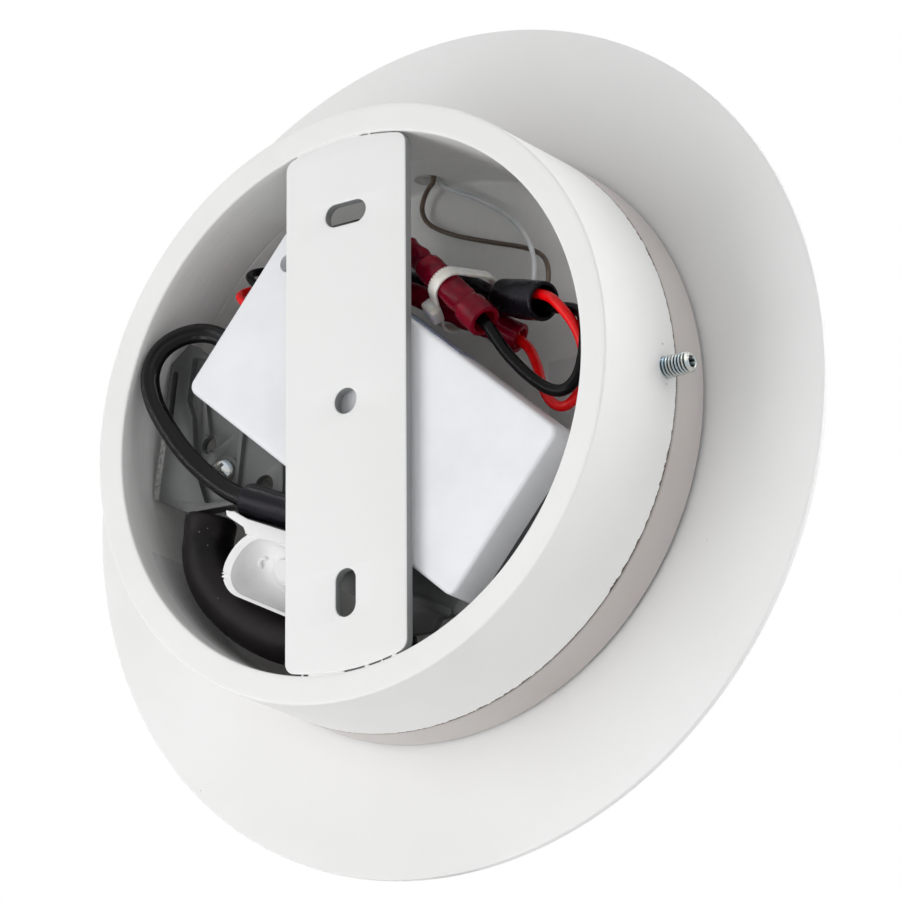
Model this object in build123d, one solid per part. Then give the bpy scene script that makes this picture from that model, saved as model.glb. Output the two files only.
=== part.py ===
from build123d import *
import os
from math import atan2, cos, degrees, pi, radians, sin, sqrt, tan

# Outdoor wall light seen from its wall side: a welded tube ring with a strap
# across it stays on the wall, and a lift-off front carries the round disc,
# the opal light ring, the driver and the wiring.
# Millimetres. Shapes are drawn as (X, height, depth from the wall) and then
# stood up, so that +Z is up and the wall is the plane Y = 0.

# Housing ring, cut from pipe
ring_outer_radius = 84.0
ring_wall = 8.0
ring_length = 34.2
rim_rounding = 0.6
counterbore_length = 10.0

# Mounting strap welded across the ring, flush with its back
strap_width = 40.0
strap_thickness = 3.0
strap_end_gap = 0.35
strap_corner_radius = 3.5
centre_hole_radius = 3.6
slot_spacing = 108.0
slot_width = 6.5
slot_length = 13.4
weld_length = 9.0
weld_size = 1.5
weld_offset = 10.5
weld_reach = 6.0

# Grub screws that lock the front, stored backed out
grub_diameter = 6.0
grub_length = 12.0
grub_proud = 8.4
grub_depth = 28.8
grub_clearance = 0.1
grub_socket_flats = 3.0
grub_socket_depth = 3.5
grub_chamfer = 0.6
locking_hole_clearance = 0.4

# Pan of the lift-off front
fit_gap = 0.3
pan_wall = 2.2
pan_floor = 3.0
pan_depth = 21.3
lead_hole_radius = 4.0
lead_hole_depth = 39.0
lead_hole_x = -0.3

# Disc, light ring and seal
disc_radius = 121.0
disc_thickness = 2.0
disc_edge = 0.3
opal_wall = 3.0
opal_seam = 0.3
opal_chamfer = 0.4
gasket_thickness = 1.3
gasket_width = 4.0
gasket_inset = 0.8

# Light strip wound on the pan
strip_width = 8.0
strip_thickness = 0.8
strip_gap = 0.05
strip_join = 4.0
chip_count = 48
chip_length = 3.5
chip_width = 2.8
chip_height = 0.7

# Driver box, laid at a slant behind the strap
driver_length = 117.0
driver_width = 53.0
driver_height = 11.0
driver_strap_gap = 1.2
driver_slant = 41.07
driver_x = -4.5
driver_z = -1.9
driver_corner_radius = 3.0
driver_edge_radius = 1.2
driver_hole_radius = 2.6
driver_hole_u = 51.6
driver_hole_v = 18.2
driver_hole_depth = 8.0
foil_length = 27.0
foil_centre_u = -1.9
foil_width = 9.0
foil_thickness = 0.15

# Tray that carries the driver, with its open wing at the left
tray_plate = 2.2
tray_relief = 2.2
tray_cover_gap = 0.5
tray_rounding = 1.2
tray_outline = [(75.0, -9.6), (69.2, 28.6), (62.5, 33.6), (57.0, 28.5), (50.0, 24.0), (25.5, 54.5),
                (15.5, 58.5), (5.5, 58.5), (4.5, 46.0), (-1.0, 36.0), (-64.0, -19.5), (-32.0, -60.5),
                (-19.5, -61.0), (-17.5, -64.3), (-7.0, -63.6), (5.0, -51.0), (20.0, -43.0),
                (34.0, -29.0), (44.0, -23.0), (47.0, -16.6), (62.5, -16.0)]
wing_outline = [(75.0, -9.6), (69.2, 28.6), (62.5, 33.6), (56.0, 28.0), (30.5, 2.0), (30.5, -19.5),
                (47.0, -16.6), (62.5, -16.0)]
pocket_outline = [(61.5, 29.5), (63.5, 17.0), (61.6, 11.5), (61.3, 5.0), (60.2, -5.0), (57.0, -14.4),
                  (46.0, -15.0), (32.0, -17.4), (32.0, 8.0), (55.0, 27.0)]
pocket_rounding = 1.2
side_slot = [(69.4, 11.5), (67.6, 25.5)]
side_slot_width = 1.9
tray_ribs = [[(58.7, 20.5), (56.4, 1.5)], [(45.0, 6.0), (47.3, -12.6)]]
rib_width = 1.3
rib_height = 1.5
tray_ridge = [(1.0, -46.5), (-23.5, -60.2)]
ridge_width = 2.0
ridge_height = 1.1
tray_holes = [(57.3, 3.2, 2.5), (38.4, -12.4, 3.1)]
boss_radius = 4.9
boss_height = 1.2

# Tray screws and the standoffs under them
screw_places = [(51.5, -6.3), (0.5, -40.5), (10.2, 51.8)]
screw_radius = 2.0
screw_head_radius = 4.0
screw_head_height = 2.6
screw_slot_width = 1.0
screw_slot_depth = 1.1
screw_length = 9.0
standoff_flats = 7.0

# Mains lead and its shrink sleeve
mains_radius = 2.7
mains_exit_v = -9.9
mains_exit_depth = 8.8
mains_exit_run = 4.6
mains_route = [(56.0, 33.6, 6.8), (62.2, 32.0, 4.6), (67.0, 28.4, 3.5),
               (69.3, 22.4, 3.1), (67.8, 14.8, 3.1), (63.6, 6.8, 3.6), (58.2, -1.7, 5.0),
               (51.8, -8.9, 6.8)]
mains_sleeve_start = (38.8, -18.3, 8.4)
mains_sleeve_end = (14.6, -29.2, 8.4)
mains_sleeve_radius = 5.0
sleeve_bore_gap = 0.25
mains_entry = 6.0
mains_lead_in = 4.2

# Thick black hose along the lower left
hose_radius = 7.4
hose_tip = 2.0
hose_route = [(55.6, -17.6, 14.6), (57.3, -24.0, 14.4), (56.9, -31.0, 14.4), (53.9, -38.4, 14.6),
              (48.6, -45.2, 15.0), (41.4, -51.4, 15.4), (32.0, -56.8, 16.2), (20.5, -60.8, 18.6),
              (8.0, -62.8, 22.8), (-4.0, -62.6, 26.6)]

# White trough of the terminal cover and its lever
trough_centre = (35.9, -40.4)
trough_slant = 28.1
trough_radius = 8.6
trough_straight = 19.0
trough_wall = 1.5
trough_rim = 4.6
lever_outline = [(44.0, -21.6), (40.6, -22.3), (35.4, -25.6), (22.0, -31.8), (21.0, -34.4), (34.6, -28.9),
                 (42.0, -23.9)]
lever_thickness = 1.0
block_length = 14.0
block_width = 10.6
block_height = 3.6
block_offset = 10.6
nub_length = 3.0
nub_width = 2.2
nub_height = 1.2

# Crimson splices, black output sleeve and the sheath behind it
splice_one = [(-12.9, 44.7, 10.5), (-38.6, 17.3, 10.5)]
splice_two = [(-8.6, 34.3, 15.2), (-39.0, 17.2, 27.0)]
splice_neck_radius = 3.1
splice_one_radius = 4.0
splice_two_radius = 3.5
splice_step = 1.2
splice_flare = 0.7
splice_flare_length = 1.5
splice_mouth_length = 8.5
splice_neck_length = 9.0
splice_bore = 1.4
splice_bore_depth = 5.0
output_sleeve = [(-53.3, 21.9, 17.2), (-36.4, 28.0, 20.9)]
output_sleeve_radius = 5.5
output_sleeve_wall = 1.2
output_sleeve_recess = 5.0
output_sleeve_taper = 1.5
sheath_radius = 2.5
sheath_run_in = 3.5
sheath_route = [(-28.0, 33.2, 22.8), (-21.0, 37.2, 23.9), (-11.5, 39.8, 24.9), (-1.0, 41.4, 25.4),
                (9.5, 43.0, 24.8), (19.5, 44.2, 24.0)]

# Cable tie round the bundle
tie_width = 4.6
tie_thickness = 1.1
tie_clearance = 0.3
tie_station = 19.6
tie_head = (5.6, 3.4, 6.0)
tie_room = (0.0, 1.0, 1.15)

# Leads
black_lead_radius = 1.65
red_lead_radius = 1.4
black_route = [(-44.0, 8.4, 11.0), (-51.0, 0.2, 11.2), (-57.6, -5.6, 11.5), (-63.2, -7.4, 11.6),
               (-67.8, -4.0, 11.6), (-69.6, 3.2, 11.8), (-68.6, 11.2, 13.8), (-64.6, 17.4, 17.4)]
black_seat = (1.0, 1.9)
lead_run_out = 1.5
red_route = [(-60.4, 18.6, 13.0), (-65.0, 11.4, 15.3), (-67.0, 2.4, 16.3), (-65.4, -6.0, 16.3),
             (-60.8, -10.2, 16.0), (-55.8, -8.0, 16.2), (-51.2, -1.0, 18.4), (-46.8, 6.8, 23.4)]
red_seat = (-1.7, -1.3)
driver_lead_radius = 1.15
driver_red_uv = [(0.0, 1.4, 8.6), (5.7, 1.4, 8.6), (8.3, 3.4, 12.6), (6.9, 6.8, 17.6),
                 (2.5, 10.6, 21.6)]
driver_black_uv = [(0.0, 7.4, 8.6), (6.3, 7.4, 8.6), (9.3, 9.2, 12.6), (7.7, 12.4, 17.8),
                   (2.9, 15.6, 21.8)]
driver_pair_half = 1.2
driver_pair_run = 6.0
led_lead_radius = 0.7
bronze_route = [(-2.9, 78.0, 38.0), (-2.5, 74.8, 38.6), (0.8, 74.4, 40.6), (3.9, 72.2, 42.3),
                (5.0, 68.8, 43.0), (3.0, 64.9, 43.2), (-2.2, 61.4, 43.0), (-9.6, 57.8, 42.2),
                (-20.8, 53.2, 40.2), (-34.3, 47.9, 37.6), (-40.9, 43.5, 35.2), (-43.8, 39.2, 33.4),
                (-44.4, 34.2, 32.6), (-42.0, 31.0, 33.4), (-35.0, 32.4, 34.6), (-23.0, 37.4, 35.2),
                (-10.0, 44.0, 33.8), (-1.6, 48.6, 29.0), (1.2, 50.8, 21.6), (-1.4, 52.4, 14.6)]
white_route = [(-1.8, 78.0, 40.6), (-2.4, 74.8, 41.2), (-6.4, 72.4, 41.8), (-12.0, 69.6, 42.2),
               (-18.4, 65.6, 42.2), (-25.2, 60.6, 41.0), (-32.2, 53.9, 38.0), (-37.8, 46.3, 34.2),
               (-40.9, 39.6, 31.2), (-41.8, 33.8, 29.2), (-39.4, 29.6, 29.4), (-33.0, 28.8, 30.2),
               (-22.0, 31.6, 30.8), (-11.0, 34.4, 29.6), (-4.0, 35.6, 25.4), (-1.8, 37.2, 18.6)]
strip_lead_run_in = 5.0

# Clear label films, left blank
wall_film_angles = (-58.0, -21.0)
wall_film_depths = (7.5, 22.0)
floor_film_size = (14.0, 20.0)
floor_film_place = (-42.5, 6.5)
film_thickness = 0.15

# Depths and radii that follow from the sizes above
bore_radius = ring_outer_radius - ring_wall
shoulder_depth = ring_length - counterbore_length
pan_outer = bore_radius + pan_wall
floor_depth = shoulder_depth + pan_depth
disc_back = floor_depth + pan_floor
opal_start = ring_length + opal_seam
opal_end = disc_back - gasket_thickness
opal_inner = ring_outer_radius - opal_wall
grub_radius = grub_diameter / 2
locking_hole = grub_radius + locking_hole_clearance
tip_radius = ring_outer_radius + grub_proud
driver_back = strap_thickness + driver_strap_gap
tray_face = driver_back + driver_height
tray_under = tray_face + tray_plate
wing_face = tray_face - tray_relief
standoff_length = floor_depth - tray_under

os.makedirs("parts", exist_ok=True)


def save(node, *solids):
    """Stand the solids up and write them as one node."""
    stood = [Plane.XZ.location * solid for solid in solids]
    shape = stood[0] if len(stood) == 1 else Compound(children=stood)
    export_step(shape, "parts/" + node + ".step")


def washer(outer, inner, near, far):
    """A flat ring about the light's axis between two depths."""
    face = Circle(outer) - Circle(inner) if inner else Circle(outer)
    return Pos(0, 0, near) * extrude(face, far - near)


def rod(start, end, radius):
    """A round rod between two points."""
    a = Vector(*start)
    b = Vector(*end)
    return Plane(origin=a, z_dir=b - a).location * extrude(Circle(radius), (b - a).length)


def slab(points, near, far, rounding=0.0):
    """A plate of the given outline between two depths."""
    face = make_face(Polyline(*points, close=True))
    if rounding:
        face = fillet(face.vertices(), rounding)
    return Pos(0, 0, near) * extrude(face, far - near)


def bar(start, end, width, near, far):
    """A straight bar with round ends between two depths."""
    dx = end[0] - start[0]
    dz = end[1] - start[1]
    middle = Pos((start[0] + end[0]) / 2, (start[1] + end[1]) / 2, near)
    face = SlotCenterToCenter(sqrt(dx * dx + dz * dz), width)
    return middle * Rot(0, 0, degrees(atan2(dz, dx))) * extrude(face, far - near)


def turned(start, end, profile):
    """A turned piece: profile holds (distance from start, radius) pairs in order."""
    a = Vector(*start)
    b = Vector(*end)
    face = make_face(Polyline(*[(radius, along) for along, radius in profile], close=True))
    piece = revolve(Plane.XZ * face, Axis.Z)
    return Plane(origin=a, z_dir=b - a).location * piece


def cord(name, points, radius):
    """A round cord: straight runs joined by arcs as large as the runs allow."""
    corners = [Vector(*point) for point in points]
    radii = []
    for a, b, c in zip(corners, corners[1:], corners[2:]):
        turn = radians((b - a).get_angle(c - b))
        radii.append(0.45 * min((b - a).length, (c - b).length) / tan(turn / 2))
    path = FilletPolyline(*corners, radius=radii)
    section = Plane(origin=corners[0], z_dir=corners[1] - corners[0]) * Circle(radius)
    solid = sweep(section, path=path)
    ratio = solid.volume / (pi * radius * radius * path.length)
    listed = ", ".join(f"{value:.1f}" for value in radii)
    print(f"{name}: length {path.length:.1f}, volume ratio {ratio:.4f}, radii {listed}")
    return solid


def save_cord(node, points, radius):
    """Make one cord and write it as a node."""
    save(node, cord(node, points, radius))


def ahead(start, end, distance):
    """The point at a distance from start on the way to end."""
    a = Vector(*start)
    b = Vector(*end)
    point = a + (b - a).normalized() * distance
    return (point.X, point.Y, point.Z)


def port(tip, root, out, across=0.0, deep=0.0):
    """A point off the end face at tip: steps outward, across the light and away from the wall."""
    way = (Vector(*tip) - Vector(*root)).normalized()
    face = Plane(origin=Vector(*tip), x_dir=Vector(-way.Y, way.X, 0), z_dir=way)
    point = face.from_local_coords(Vector(across, deep, out))
    return (point.X, point.Y, point.Z)


def on_driver(u, v, depth):
    """A point given along the driver box from its middle, across it and in depth."""
    angle = radians(driver_slant)
    x = driver_x + u * cos(angle) - v * sin(angle)
    z = driver_z + u * sin(angle) + v * cos(angle)
    return (x, z, depth)


def past_driver(out, v, depth):
    """A point given by its distance past the driver's upper end, across it and in depth."""
    return on_driver(driver_length / 2 + out, v, depth)


# Housing ring with its counterbore and the two threaded holes
ring = washer(ring_outer_radius, bore_radius, 0, ring_length)
back_edges = ring.edges().filter_by(GeomType.CIRCLE).group_by(Axis.Z)[0]
ring = fillet(back_edges, rim_rounding)
ring -= washer(pan_outer + fit_gap, 0, shoulder_depth, ring_length)
ring -= rod((-tip_radius, 0, grub_depth), (tip_radius, 0, grub_depth), grub_radius + grub_clearance)
save("housing_ring", ring)

# Mounting strap with its hole and two slots, one level and one upright
strap_reach = bore_radius - strap_end_gap
strap = extrude(Rectangle(strap_width, 2 * ring_outer_radius) & Circle(strap_reach), strap_thickness)
strap = fillet(strap.edges().filter_by(Axis.Z), strap_corner_radius)
slot = extrude(SlotOverall(slot_length, slot_width), strap_thickness)
strap -= extrude(Circle(centre_hole_radius), strap_thickness)
strap -= Pos(0, slot_spacing / 2, 0) * slot
strap -= Pos(0, -slot_spacing / 2, 0) * Rot(0, 0, 90) * slot
save("mounting_strap", strap)

# Short welds between the strap's ends and the bore, on the hidden side
welds = []
weld_ring = washer(bore_radius - strap_end_gap / 2, bore_radius - weld_size - strap_end_gap,
                   strap_thickness, strap_thickness + weld_size)
for side in (1, -1):
    for x in (-weld_offset, weld_offset):
        place = Pos(x, side * bore_radius, strap_thickness + weld_size / 2)
        welds.append(weld_ring & place * Box(weld_length, 2 * weld_reach, weld_size))
save("strap_welds", *welds)

# Grub screws with hexagon sockets at their outer ends
grub = turned((-tip_radius, 0, grub_depth), (0, 0, grub_depth),
              [(0, 0), (0, grub_radius - grub_chamfer), (grub_chamfer, grub_radius),
               (grub_length - grub_chamfer, grub_radius), (grub_length, grub_radius - grub_chamfer),
               (grub_length, 0)])
socket_plane = Plane(origin=(-tip_radius, 0, grub_depth), z_dir=(1, 0, 0))
socket_face = RegularPolygon(grub_socket_flats / 2, 6, major_radius=False)
grub -= socket_plane.location * extrude(socket_face, grub_socket_depth)
save("grub_screw_right", grub)
save("grub_screw_left", mirror(grub, about=Plane.YZ))

# Pan: a cup whose wall enters the counterbore and ends on its shoulder
pan = washer(pan_outer, 0, shoulder_depth, disc_back)
pan -= washer(bore_radius, 0, shoulder_depth, floor_depth)
pan -= rod((-tip_radius, 0, grub_depth), (tip_radius, 0, grub_depth), locking_hole)
pan -= rod((lead_hole_x, bore_radius - lead_hole_radius, lead_hole_depth),
           (lead_hole_x, ring_outer_radius, lead_hole_depth), lead_hole_radius)
save("base_pan", pan)

# Disc at the front
disc = washer(disc_radius, 0, disc_back, disc_back + disc_thickness)
disc = fillet(disc.edges().filter_by(GeomType.CIRCLE), disc_edge)
save("front_disc", disc)

# Opal ring, flush with the housing, and the seal between it and the disc
opal = washer(ring_outer_radius, opal_inner, opal_start, opal_end)
opal_edges = opal.edges().filter_by(GeomType.CIRCLE).group_by(Axis.Z)[0].sort_by(SortBy.RADIUS)[-1:]
opal = chamfer(opal_edges, opal_chamfer)
save("opal_ring", opal)
gasket_outer = ring_outer_radius - gasket_inset
save("seal_ring", washer(gasket_outer, gasket_outer - gasket_width, opal_end, disc_back))

# Light strip and its chips
strip_inner = pan_outer + strip_gap
strip_outer = strip_inner + strip_thickness
strip_middle = (opal_start + opal_end) / 2
strip = washer(strip_outer, strip_inner, strip_middle - strip_width / 2, strip_middle + strip_width / 2)
strip -= Pos(0, -strip_outer, strip_middle) * Box(strip_join, strip_join, 2 * strip_width)
save("light_strip", strip)
chips = []
for i in range(chip_count):
    angle = 360 * (i + 0.5) / chip_count
    chip = Box(chip_height, chip_length, chip_width, align=(Align.MIN, Align.CENTER, Align.CENTER))
    place = Pos(strip_outer + strip_gap, 0, strip_middle)
    chips.append(Rot(0, 0, angle) * (place * chip))
save("light_chips", *chips)

# Driver box
driver_place = Pos(driver_x, driver_z, 0) * Rot(0, 0, driver_slant)
lift = (Align.CENTER, Align.CENTER, Align.MIN)
cover = Pos(0, 0, driver_back) * Box(driver_length, driver_width, driver_height, align=lift)
cover = fillet(cover.edges().filter_by(Axis.Z), driver_corner_radius)
cover = fillet(cover.faces().sort_by(Axis.Z)[0].edges(), driver_edge_radius)
driver_hole = extrude(Circle(driver_hole_radius), driver_hole_depth)
cover -= Pos(driver_hole_u, driver_hole_v, driver_back) * driver_hole
save("driver_cover", driver_place * cover)
foil = Pos(foil_centre_u, driver_width / 2 + foil_thickness / 2, driver_back + driver_height / 2)
save("foil_strip", driver_place * foil * Box(foil_length, foil_thickness, foil_width))

# Tray: plate, raised wing with its pocket, ribs, slot, holes and bosses
tray = slab(tray_outline, tray_face, tray_under, tray_rounding)
wing = slab(wing_outline, wing_face, tray_face, tray_rounding)
wing -= slab(pocket_outline, wing_face, tray_face, pocket_rounding)
cover_room = Box(driver_length + 2 * tray_cover_gap, driver_width + 2 * tray_cover_gap, driver_height,
                 align=lift)
cover_room = driver_place * Pos(0, 0, driver_back) * cover_room
wing -= cover_room
wing -= rod(ahead(mains_sleeve_start, mains_sleeve_end, -2), mains_sleeve_end, mains_sleeve_radius + 0.5)
tray += wing
for start, end in tray_ribs:
    rib = bar(start, end, rib_width, tray_face - rib_height, tray_face)
    tray += rib - cover_room
tray += bar(tray_ridge[0], tray_ridge[1], ridge_width, tray_face - ridge_height, tray_face)
for x, z in screw_places:
    boss = Pos(x, z, tray_face - boss_height) * extrude(Circle(boss_radius), boss_height)
    tray += boss - cover_room
    tray -= Pos(x, z, wing_face) * extrude(Circle(screw_radius + 0.2), tray_relief + tray_plate)
for x, z, radius in tray_holes:
    tray -= Pos(x, z, wing_face) * extrude(Circle(radius), tray_relief + tray_plate)
tray -= bar(side_slot[0], side_slot[1], side_slot_width, wing_face, tray_under)
save("driver_tray", tray)

# Tray screws and hexagon standoffs
screws = []
standoffs = []
for x, z in screw_places:
    seat = tray_face - boss_height
    head = Pos(x, z, seat - screw_head_height) * extrude(Circle(screw_head_radius), screw_head_height)
    head = fillet(head.edges().filter_by(GeomType.CIRCLE).group_by(Axis.Z)[0], screw_head_height * 0.6)
    for turn in (20, 110):
        cross = Pos(x, z, seat - screw_head_height) * Rot(0, 0, turn)
        head -= cross * Box(screw_head_radius, screw_slot_width, 2 * screw_slot_depth)
    head += Pos(x, z, seat) * extrude(Circle(screw_radius), screw_length)
    screws.append(head)
    post = extrude(RegularPolygon(standoff_flats / 2, 6, major_radius=False), standoff_length)
    bore = extrude(Circle(screw_radius + 0.05), screw_length)
    standoffs.append(Pos(x, z, tray_under) * (post - bore))
save("tray_screws", *screws)
save("tray_standoffs", *standoffs)

# Mains lead, from the driver's end round to its shrink sleeve
mains_exit = past_driver(0, mains_exit_v, mains_exit_depth)
mains_out = past_driver(mains_exit_run, mains_exit_v, mains_exit_depth)
mains_in = port(mains_sleeve_start, mains_sleeve_end, mains_lead_in)
mains_end = port(mains_sleeve_start, mains_sleeve_end, -mains_entry)
save_cord("mains_lead", [mains_exit, mains_out, *mains_route, mains_in, mains_end], mains_radius)
sleeve_run = (Vector(*mains_sleeve_end) - Vector(*mains_sleeve_start)).length
sleeve = turned(mains_sleeve_start, mains_sleeve_end,
                [(mains_entry, 0), (mains_entry, mains_radius + sleeve_bore_gap),
                 (0, mains_radius + sleeve_bore_gap), (0, mains_sleeve_radius - 0.5),
                 (0.5, mains_sleeve_radius), (sleeve_run, mains_sleeve_radius), (sleeve_run, 0)])
save("mains_sleeve", sleeve)

# Thick hose with its closed end
hose = cord("black_hose", hose_route, hose_radius)
hose = fillet(hose.faces().sort_by_distance(Vector(*hose_route[0]))[0].edges(), hose_tip)
save("black_hose", hose)

# Terminal cover: a half-round trough with a round end, open towards the wall
trough_place = Pos(trough_centre[0], trough_centre[1], trough_rim) * Rot(0, 0, 180 + trough_slant)


def trough_form(radius):
    """The half-round form of the trough, from its round end to its open end."""
    along = rod((0, 0, 0), (trough_straight, 0, 0), radius) + Sphere(radius)
    return along & Box(4 * trough_straight, 3 * radius, 2 * radius, align=lift)


trough_inner = trough_radius - trough_wall
save("terminal_cover", trough_place * (trough_form(trough_radius) - trough_form(trough_inner)))
block_bed = sqrt(trough_inner ** 2 - (block_width / 2) ** 2) - strip_gap
block = Box(block_length, block_width, block_height, align=lift)
block = Pos(block_offset, 0, block_bed - block_height) * block
nub = Box(nub_length, nub_width, nub_height, align=lift)
nub_x = block_offset - block_length / 2 + nub_length
nub_place = Pos(nub_x, nub_width, block_bed - block_height - nub_height)
save("terminal_block", trough_place * (block + nub_place * nub))
save("terminal_lever", slab(lever_outline, trough_rim - lever_thickness, trough_rim, 0.3))


# Crimson splices: a slim neck, the body and a flared mouth with a deep bore
def splice(ends, radius):
    """One crimson splice between two ends."""
    run = (Vector(*ends[1]) - Vector(*ends[0])).length
    bore = radius + splice_flare - splice_bore
    mouth = radius + splice_flare
    return turned(ends[0], ends[1],
                  [(0, 0), (0, splice_neck_radius - 0.5), (0.5, splice_neck_radius),
                   (splice_neck_length, splice_neck_radius), (splice_neck_length + splice_step, radius),
                   (run - splice_mouth_length, radius),
                   (run - splice_mouth_length + splice_flare_length, mouth),
                   (run - 0.4, mouth), (run, mouth - 0.4), (run, bore), (run - splice_bore_depth, bore),
                   (run - splice_bore_depth, 0)])


save("splice_one", splice(splice_one, splice_one_radius))
save("splice_two", splice(splice_two, splice_two_radius))

# Output sleeve and the sheath that runs on behind it
output_run = (Vector(*output_sleeve[1]) - Vector(*output_sleeve[0])).length
recess_radius = output_sleeve_radius - output_sleeve_wall
sleeve = turned(output_sleeve[0], output_sleeve[1],
                [(output_sleeve_recess, 0), (output_sleeve_recess, recess_radius), (0, recess_radius),
                 (0, output_sleeve_radius - 0.4), (0.4, output_sleeve_radius),
                 (output_run - output_sleeve_taper, output_sleeve_radius),
                 (output_run, output_sleeve_radius - output_sleeve_taper), (output_run, 0)])
save("output_sleeve", sleeve)
sheath_start = output_sleeve[1]
sheath_out = port(output_sleeve[1], output_sleeve[0], sheath_run_in)
save_cord("lead_sheath", [sheath_start, sheath_out, *sheath_route], sheath_radius)

# Cable tie: a hull of the three round pieces it binds, with head and tail
tie_a = Vector(*ahead(splice_one[0], splice_one[1], tie_station))
one_way = (Vector(*splice_one[1]) - Vector(*splice_one[0])).normalized()


def cut_by_tie(start, end):
    """Where a straight piece's middle line meets the tie's plane."""
    a = Vector(*start)
    way = (Vector(*end) - a).normalized()
    return a + way * ((tie_a - a).dot(one_way) / way.dot(one_way))


tie_b = cut_by_tie(output_sleeve[1], sheath_route[0])
tie_c = cut_by_tie(splice_two[0], splice_two[1])
tie_plane = Plane(origin=tie_a, x_dir=tie_b - tie_a, z_dir=one_way)
centres = [tie_plane.to_local_coords(point) for point in (tie_a, tie_b, tie_c)]
bound_radii = [splice_one_radius, sheath_radius, splice_two_radius]


def tie_loop(extra):
    """The taut outline round the bound pieces, with some room."""
    edges = []
    for centre, radius, room in zip(centres, bound_radii, tie_room):
        edges += (Pos(centre.X, centre.Y) * Circle(radius + room + tie_clearance + extra)).edges()
    return make_hull(edges)


tie_band = extrude(tie_loop(tie_thickness) - tie_loop(0), tie_width / 2, both=True)
side_way = (centres[2] - centres[0]).normalized()
out_way = Vector(side_way.Y, -side_way.X, 0)
if out_way.X > 0:
    out_way = out_way * -1
head_seat = (centres[0] + centres[2]) * 0.5 + out_way * (splice_one_radius + tie_clearance + tie_thickness)
head_frame = Plane(origin=head_seat, x_dir=side_way, z_dir=out_way)
head = head_frame.location * (Pos(0, 0, -0.4) * Box(tie_head[0], tie_head[2], tie_head[1], align=lift))
save("cable_tie", tie_plane.location * (tie_band + head))

# Leads between the output sleeve and the splices
sleeve_mouth, sleeve_back = output_sleeve
black_start = port(splice_one[1], splice_one[0], -splice_bore_depth)
black_out = port(splice_one[1], splice_one[0], lead_run_out)
black_in = port(sleeve_mouth, sleeve_back, lead_run_out, *black_seat)
black_end = port(sleeve_mouth, sleeve_back, -output_sleeve_recess, *black_seat)
save_cord("black_lead", [black_start, black_out, *black_route, black_in, black_end], black_lead_radius)
red_start = port(sleeve_mouth, sleeve_back, -output_sleeve_recess, *red_seat)
red_out = port(sleeve_mouth, sleeve_back, lead_run_out, *red_seat)
red_in = port(splice_two[1], splice_two[0], lead_run_out)
red_end = port(splice_two[1], splice_two[0], -splice_bore_depth)
save_cord("red_lead", [red_start, red_out, *red_route, red_in, red_end], red_lead_radius)

# Leads from the driver's end down to the sheath
sheath_tip = sheath_route[-1]
sheath_root = sheath_route[-2]
for colour, route, seat in (("red", driver_red_uv, driver_pair_half),
                            ("black", driver_black_uv, -driver_pair_half)):
    node = "driver_lead_" + colour
    points = [past_driver(*point) for point in route]
    points.append(port(sheath_tip, sheath_root, driver_pair_run, -seat))
    points.append(port(sheath_tip, sheath_root, 0, -seat))
    save_cord(node, points, driver_lead_radius)

# Leads of the light strip, from the hole in the pan to the splices
bronze_end = port(splice_one[0], splice_one[1], strip_lead_run_in)
save_cord("strip_lead_bronze", [*bronze_route, bronze_end, splice_one[0]], led_lead_radius)
white_end = port(splice_two[0], splice_two[1], strip_lead_run_in)
save_cord("strip_lead_white", [*white_route, white_end, splice_two[0]], led_lead_radius)

# Blank label films on the bore and on the pan floor
film = washer(bore_radius - 0.02, bore_radius - 0.02 - film_thickness, *wall_film_depths)
wedge = [(0, 0)]
for angle in (wall_film_angles[0], sum(wall_film_angles) / 2, wall_film_angles[1]):
    wedge.append((2 * bore_radius * cos(radians(angle)), 2 * bore_radius * sin(radians(angle))))
save("wall_film", film & slab(wedge, wall_film_depths[0], wall_film_depths[1]))
floor_film = Pos(floor_film_place[0], floor_film_place[1], floor_depth - film_thickness / 2)
save("floor_film", floor_film * Box(floor_film_size[0], floor_film_size[1], film_thickness))
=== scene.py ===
import logging
import math
from dataclasses import dataclass, field
from enum import Enum
from typing import Callable, Sequence

import bmesh
import bpy
import numpy as np
from mathutils import Matrix, Vector
from mathutils.geometry import tessellate_polygon


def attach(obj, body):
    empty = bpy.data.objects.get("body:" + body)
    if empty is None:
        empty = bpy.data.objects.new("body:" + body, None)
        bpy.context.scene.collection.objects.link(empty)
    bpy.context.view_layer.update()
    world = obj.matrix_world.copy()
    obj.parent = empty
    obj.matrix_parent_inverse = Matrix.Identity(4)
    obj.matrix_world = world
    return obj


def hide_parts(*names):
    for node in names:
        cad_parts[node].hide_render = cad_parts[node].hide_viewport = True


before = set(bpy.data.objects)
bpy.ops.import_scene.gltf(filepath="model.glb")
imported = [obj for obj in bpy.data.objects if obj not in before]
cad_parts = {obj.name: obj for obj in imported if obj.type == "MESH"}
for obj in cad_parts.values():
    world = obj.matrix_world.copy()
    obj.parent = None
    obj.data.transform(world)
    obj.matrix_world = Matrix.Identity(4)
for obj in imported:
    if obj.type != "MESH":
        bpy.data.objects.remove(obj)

# Outdoor wall light seen from its wall side.
# Sizes are in millimetres and places are (X, height, depth from the wall);
# stand() turns them into the frame, in metres.

Array = np.ndarray
Place = tuple[float, float, float]
Socket = bpy.types.NodeSocket | bpy.types.Node | float | Sequence[float]
Feed = Socket | dict[str | int, Socket]

log = logging.getLogger("wall_light")
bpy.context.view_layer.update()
RING_STEPS = 360
PER_METRE = 1000.0  # millimetres
DOUBLES = 2e-6      # metres; points nearer than this are one


class Body(Enum):
    """The bodies that pieces ride on."""

    HOUSING = "housing"
    FRONT = "front"
    GRUB_RIGHT = "grub_right"
    GRUB_LEFT = "grub_left"


# Points, outlines and frames

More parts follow.
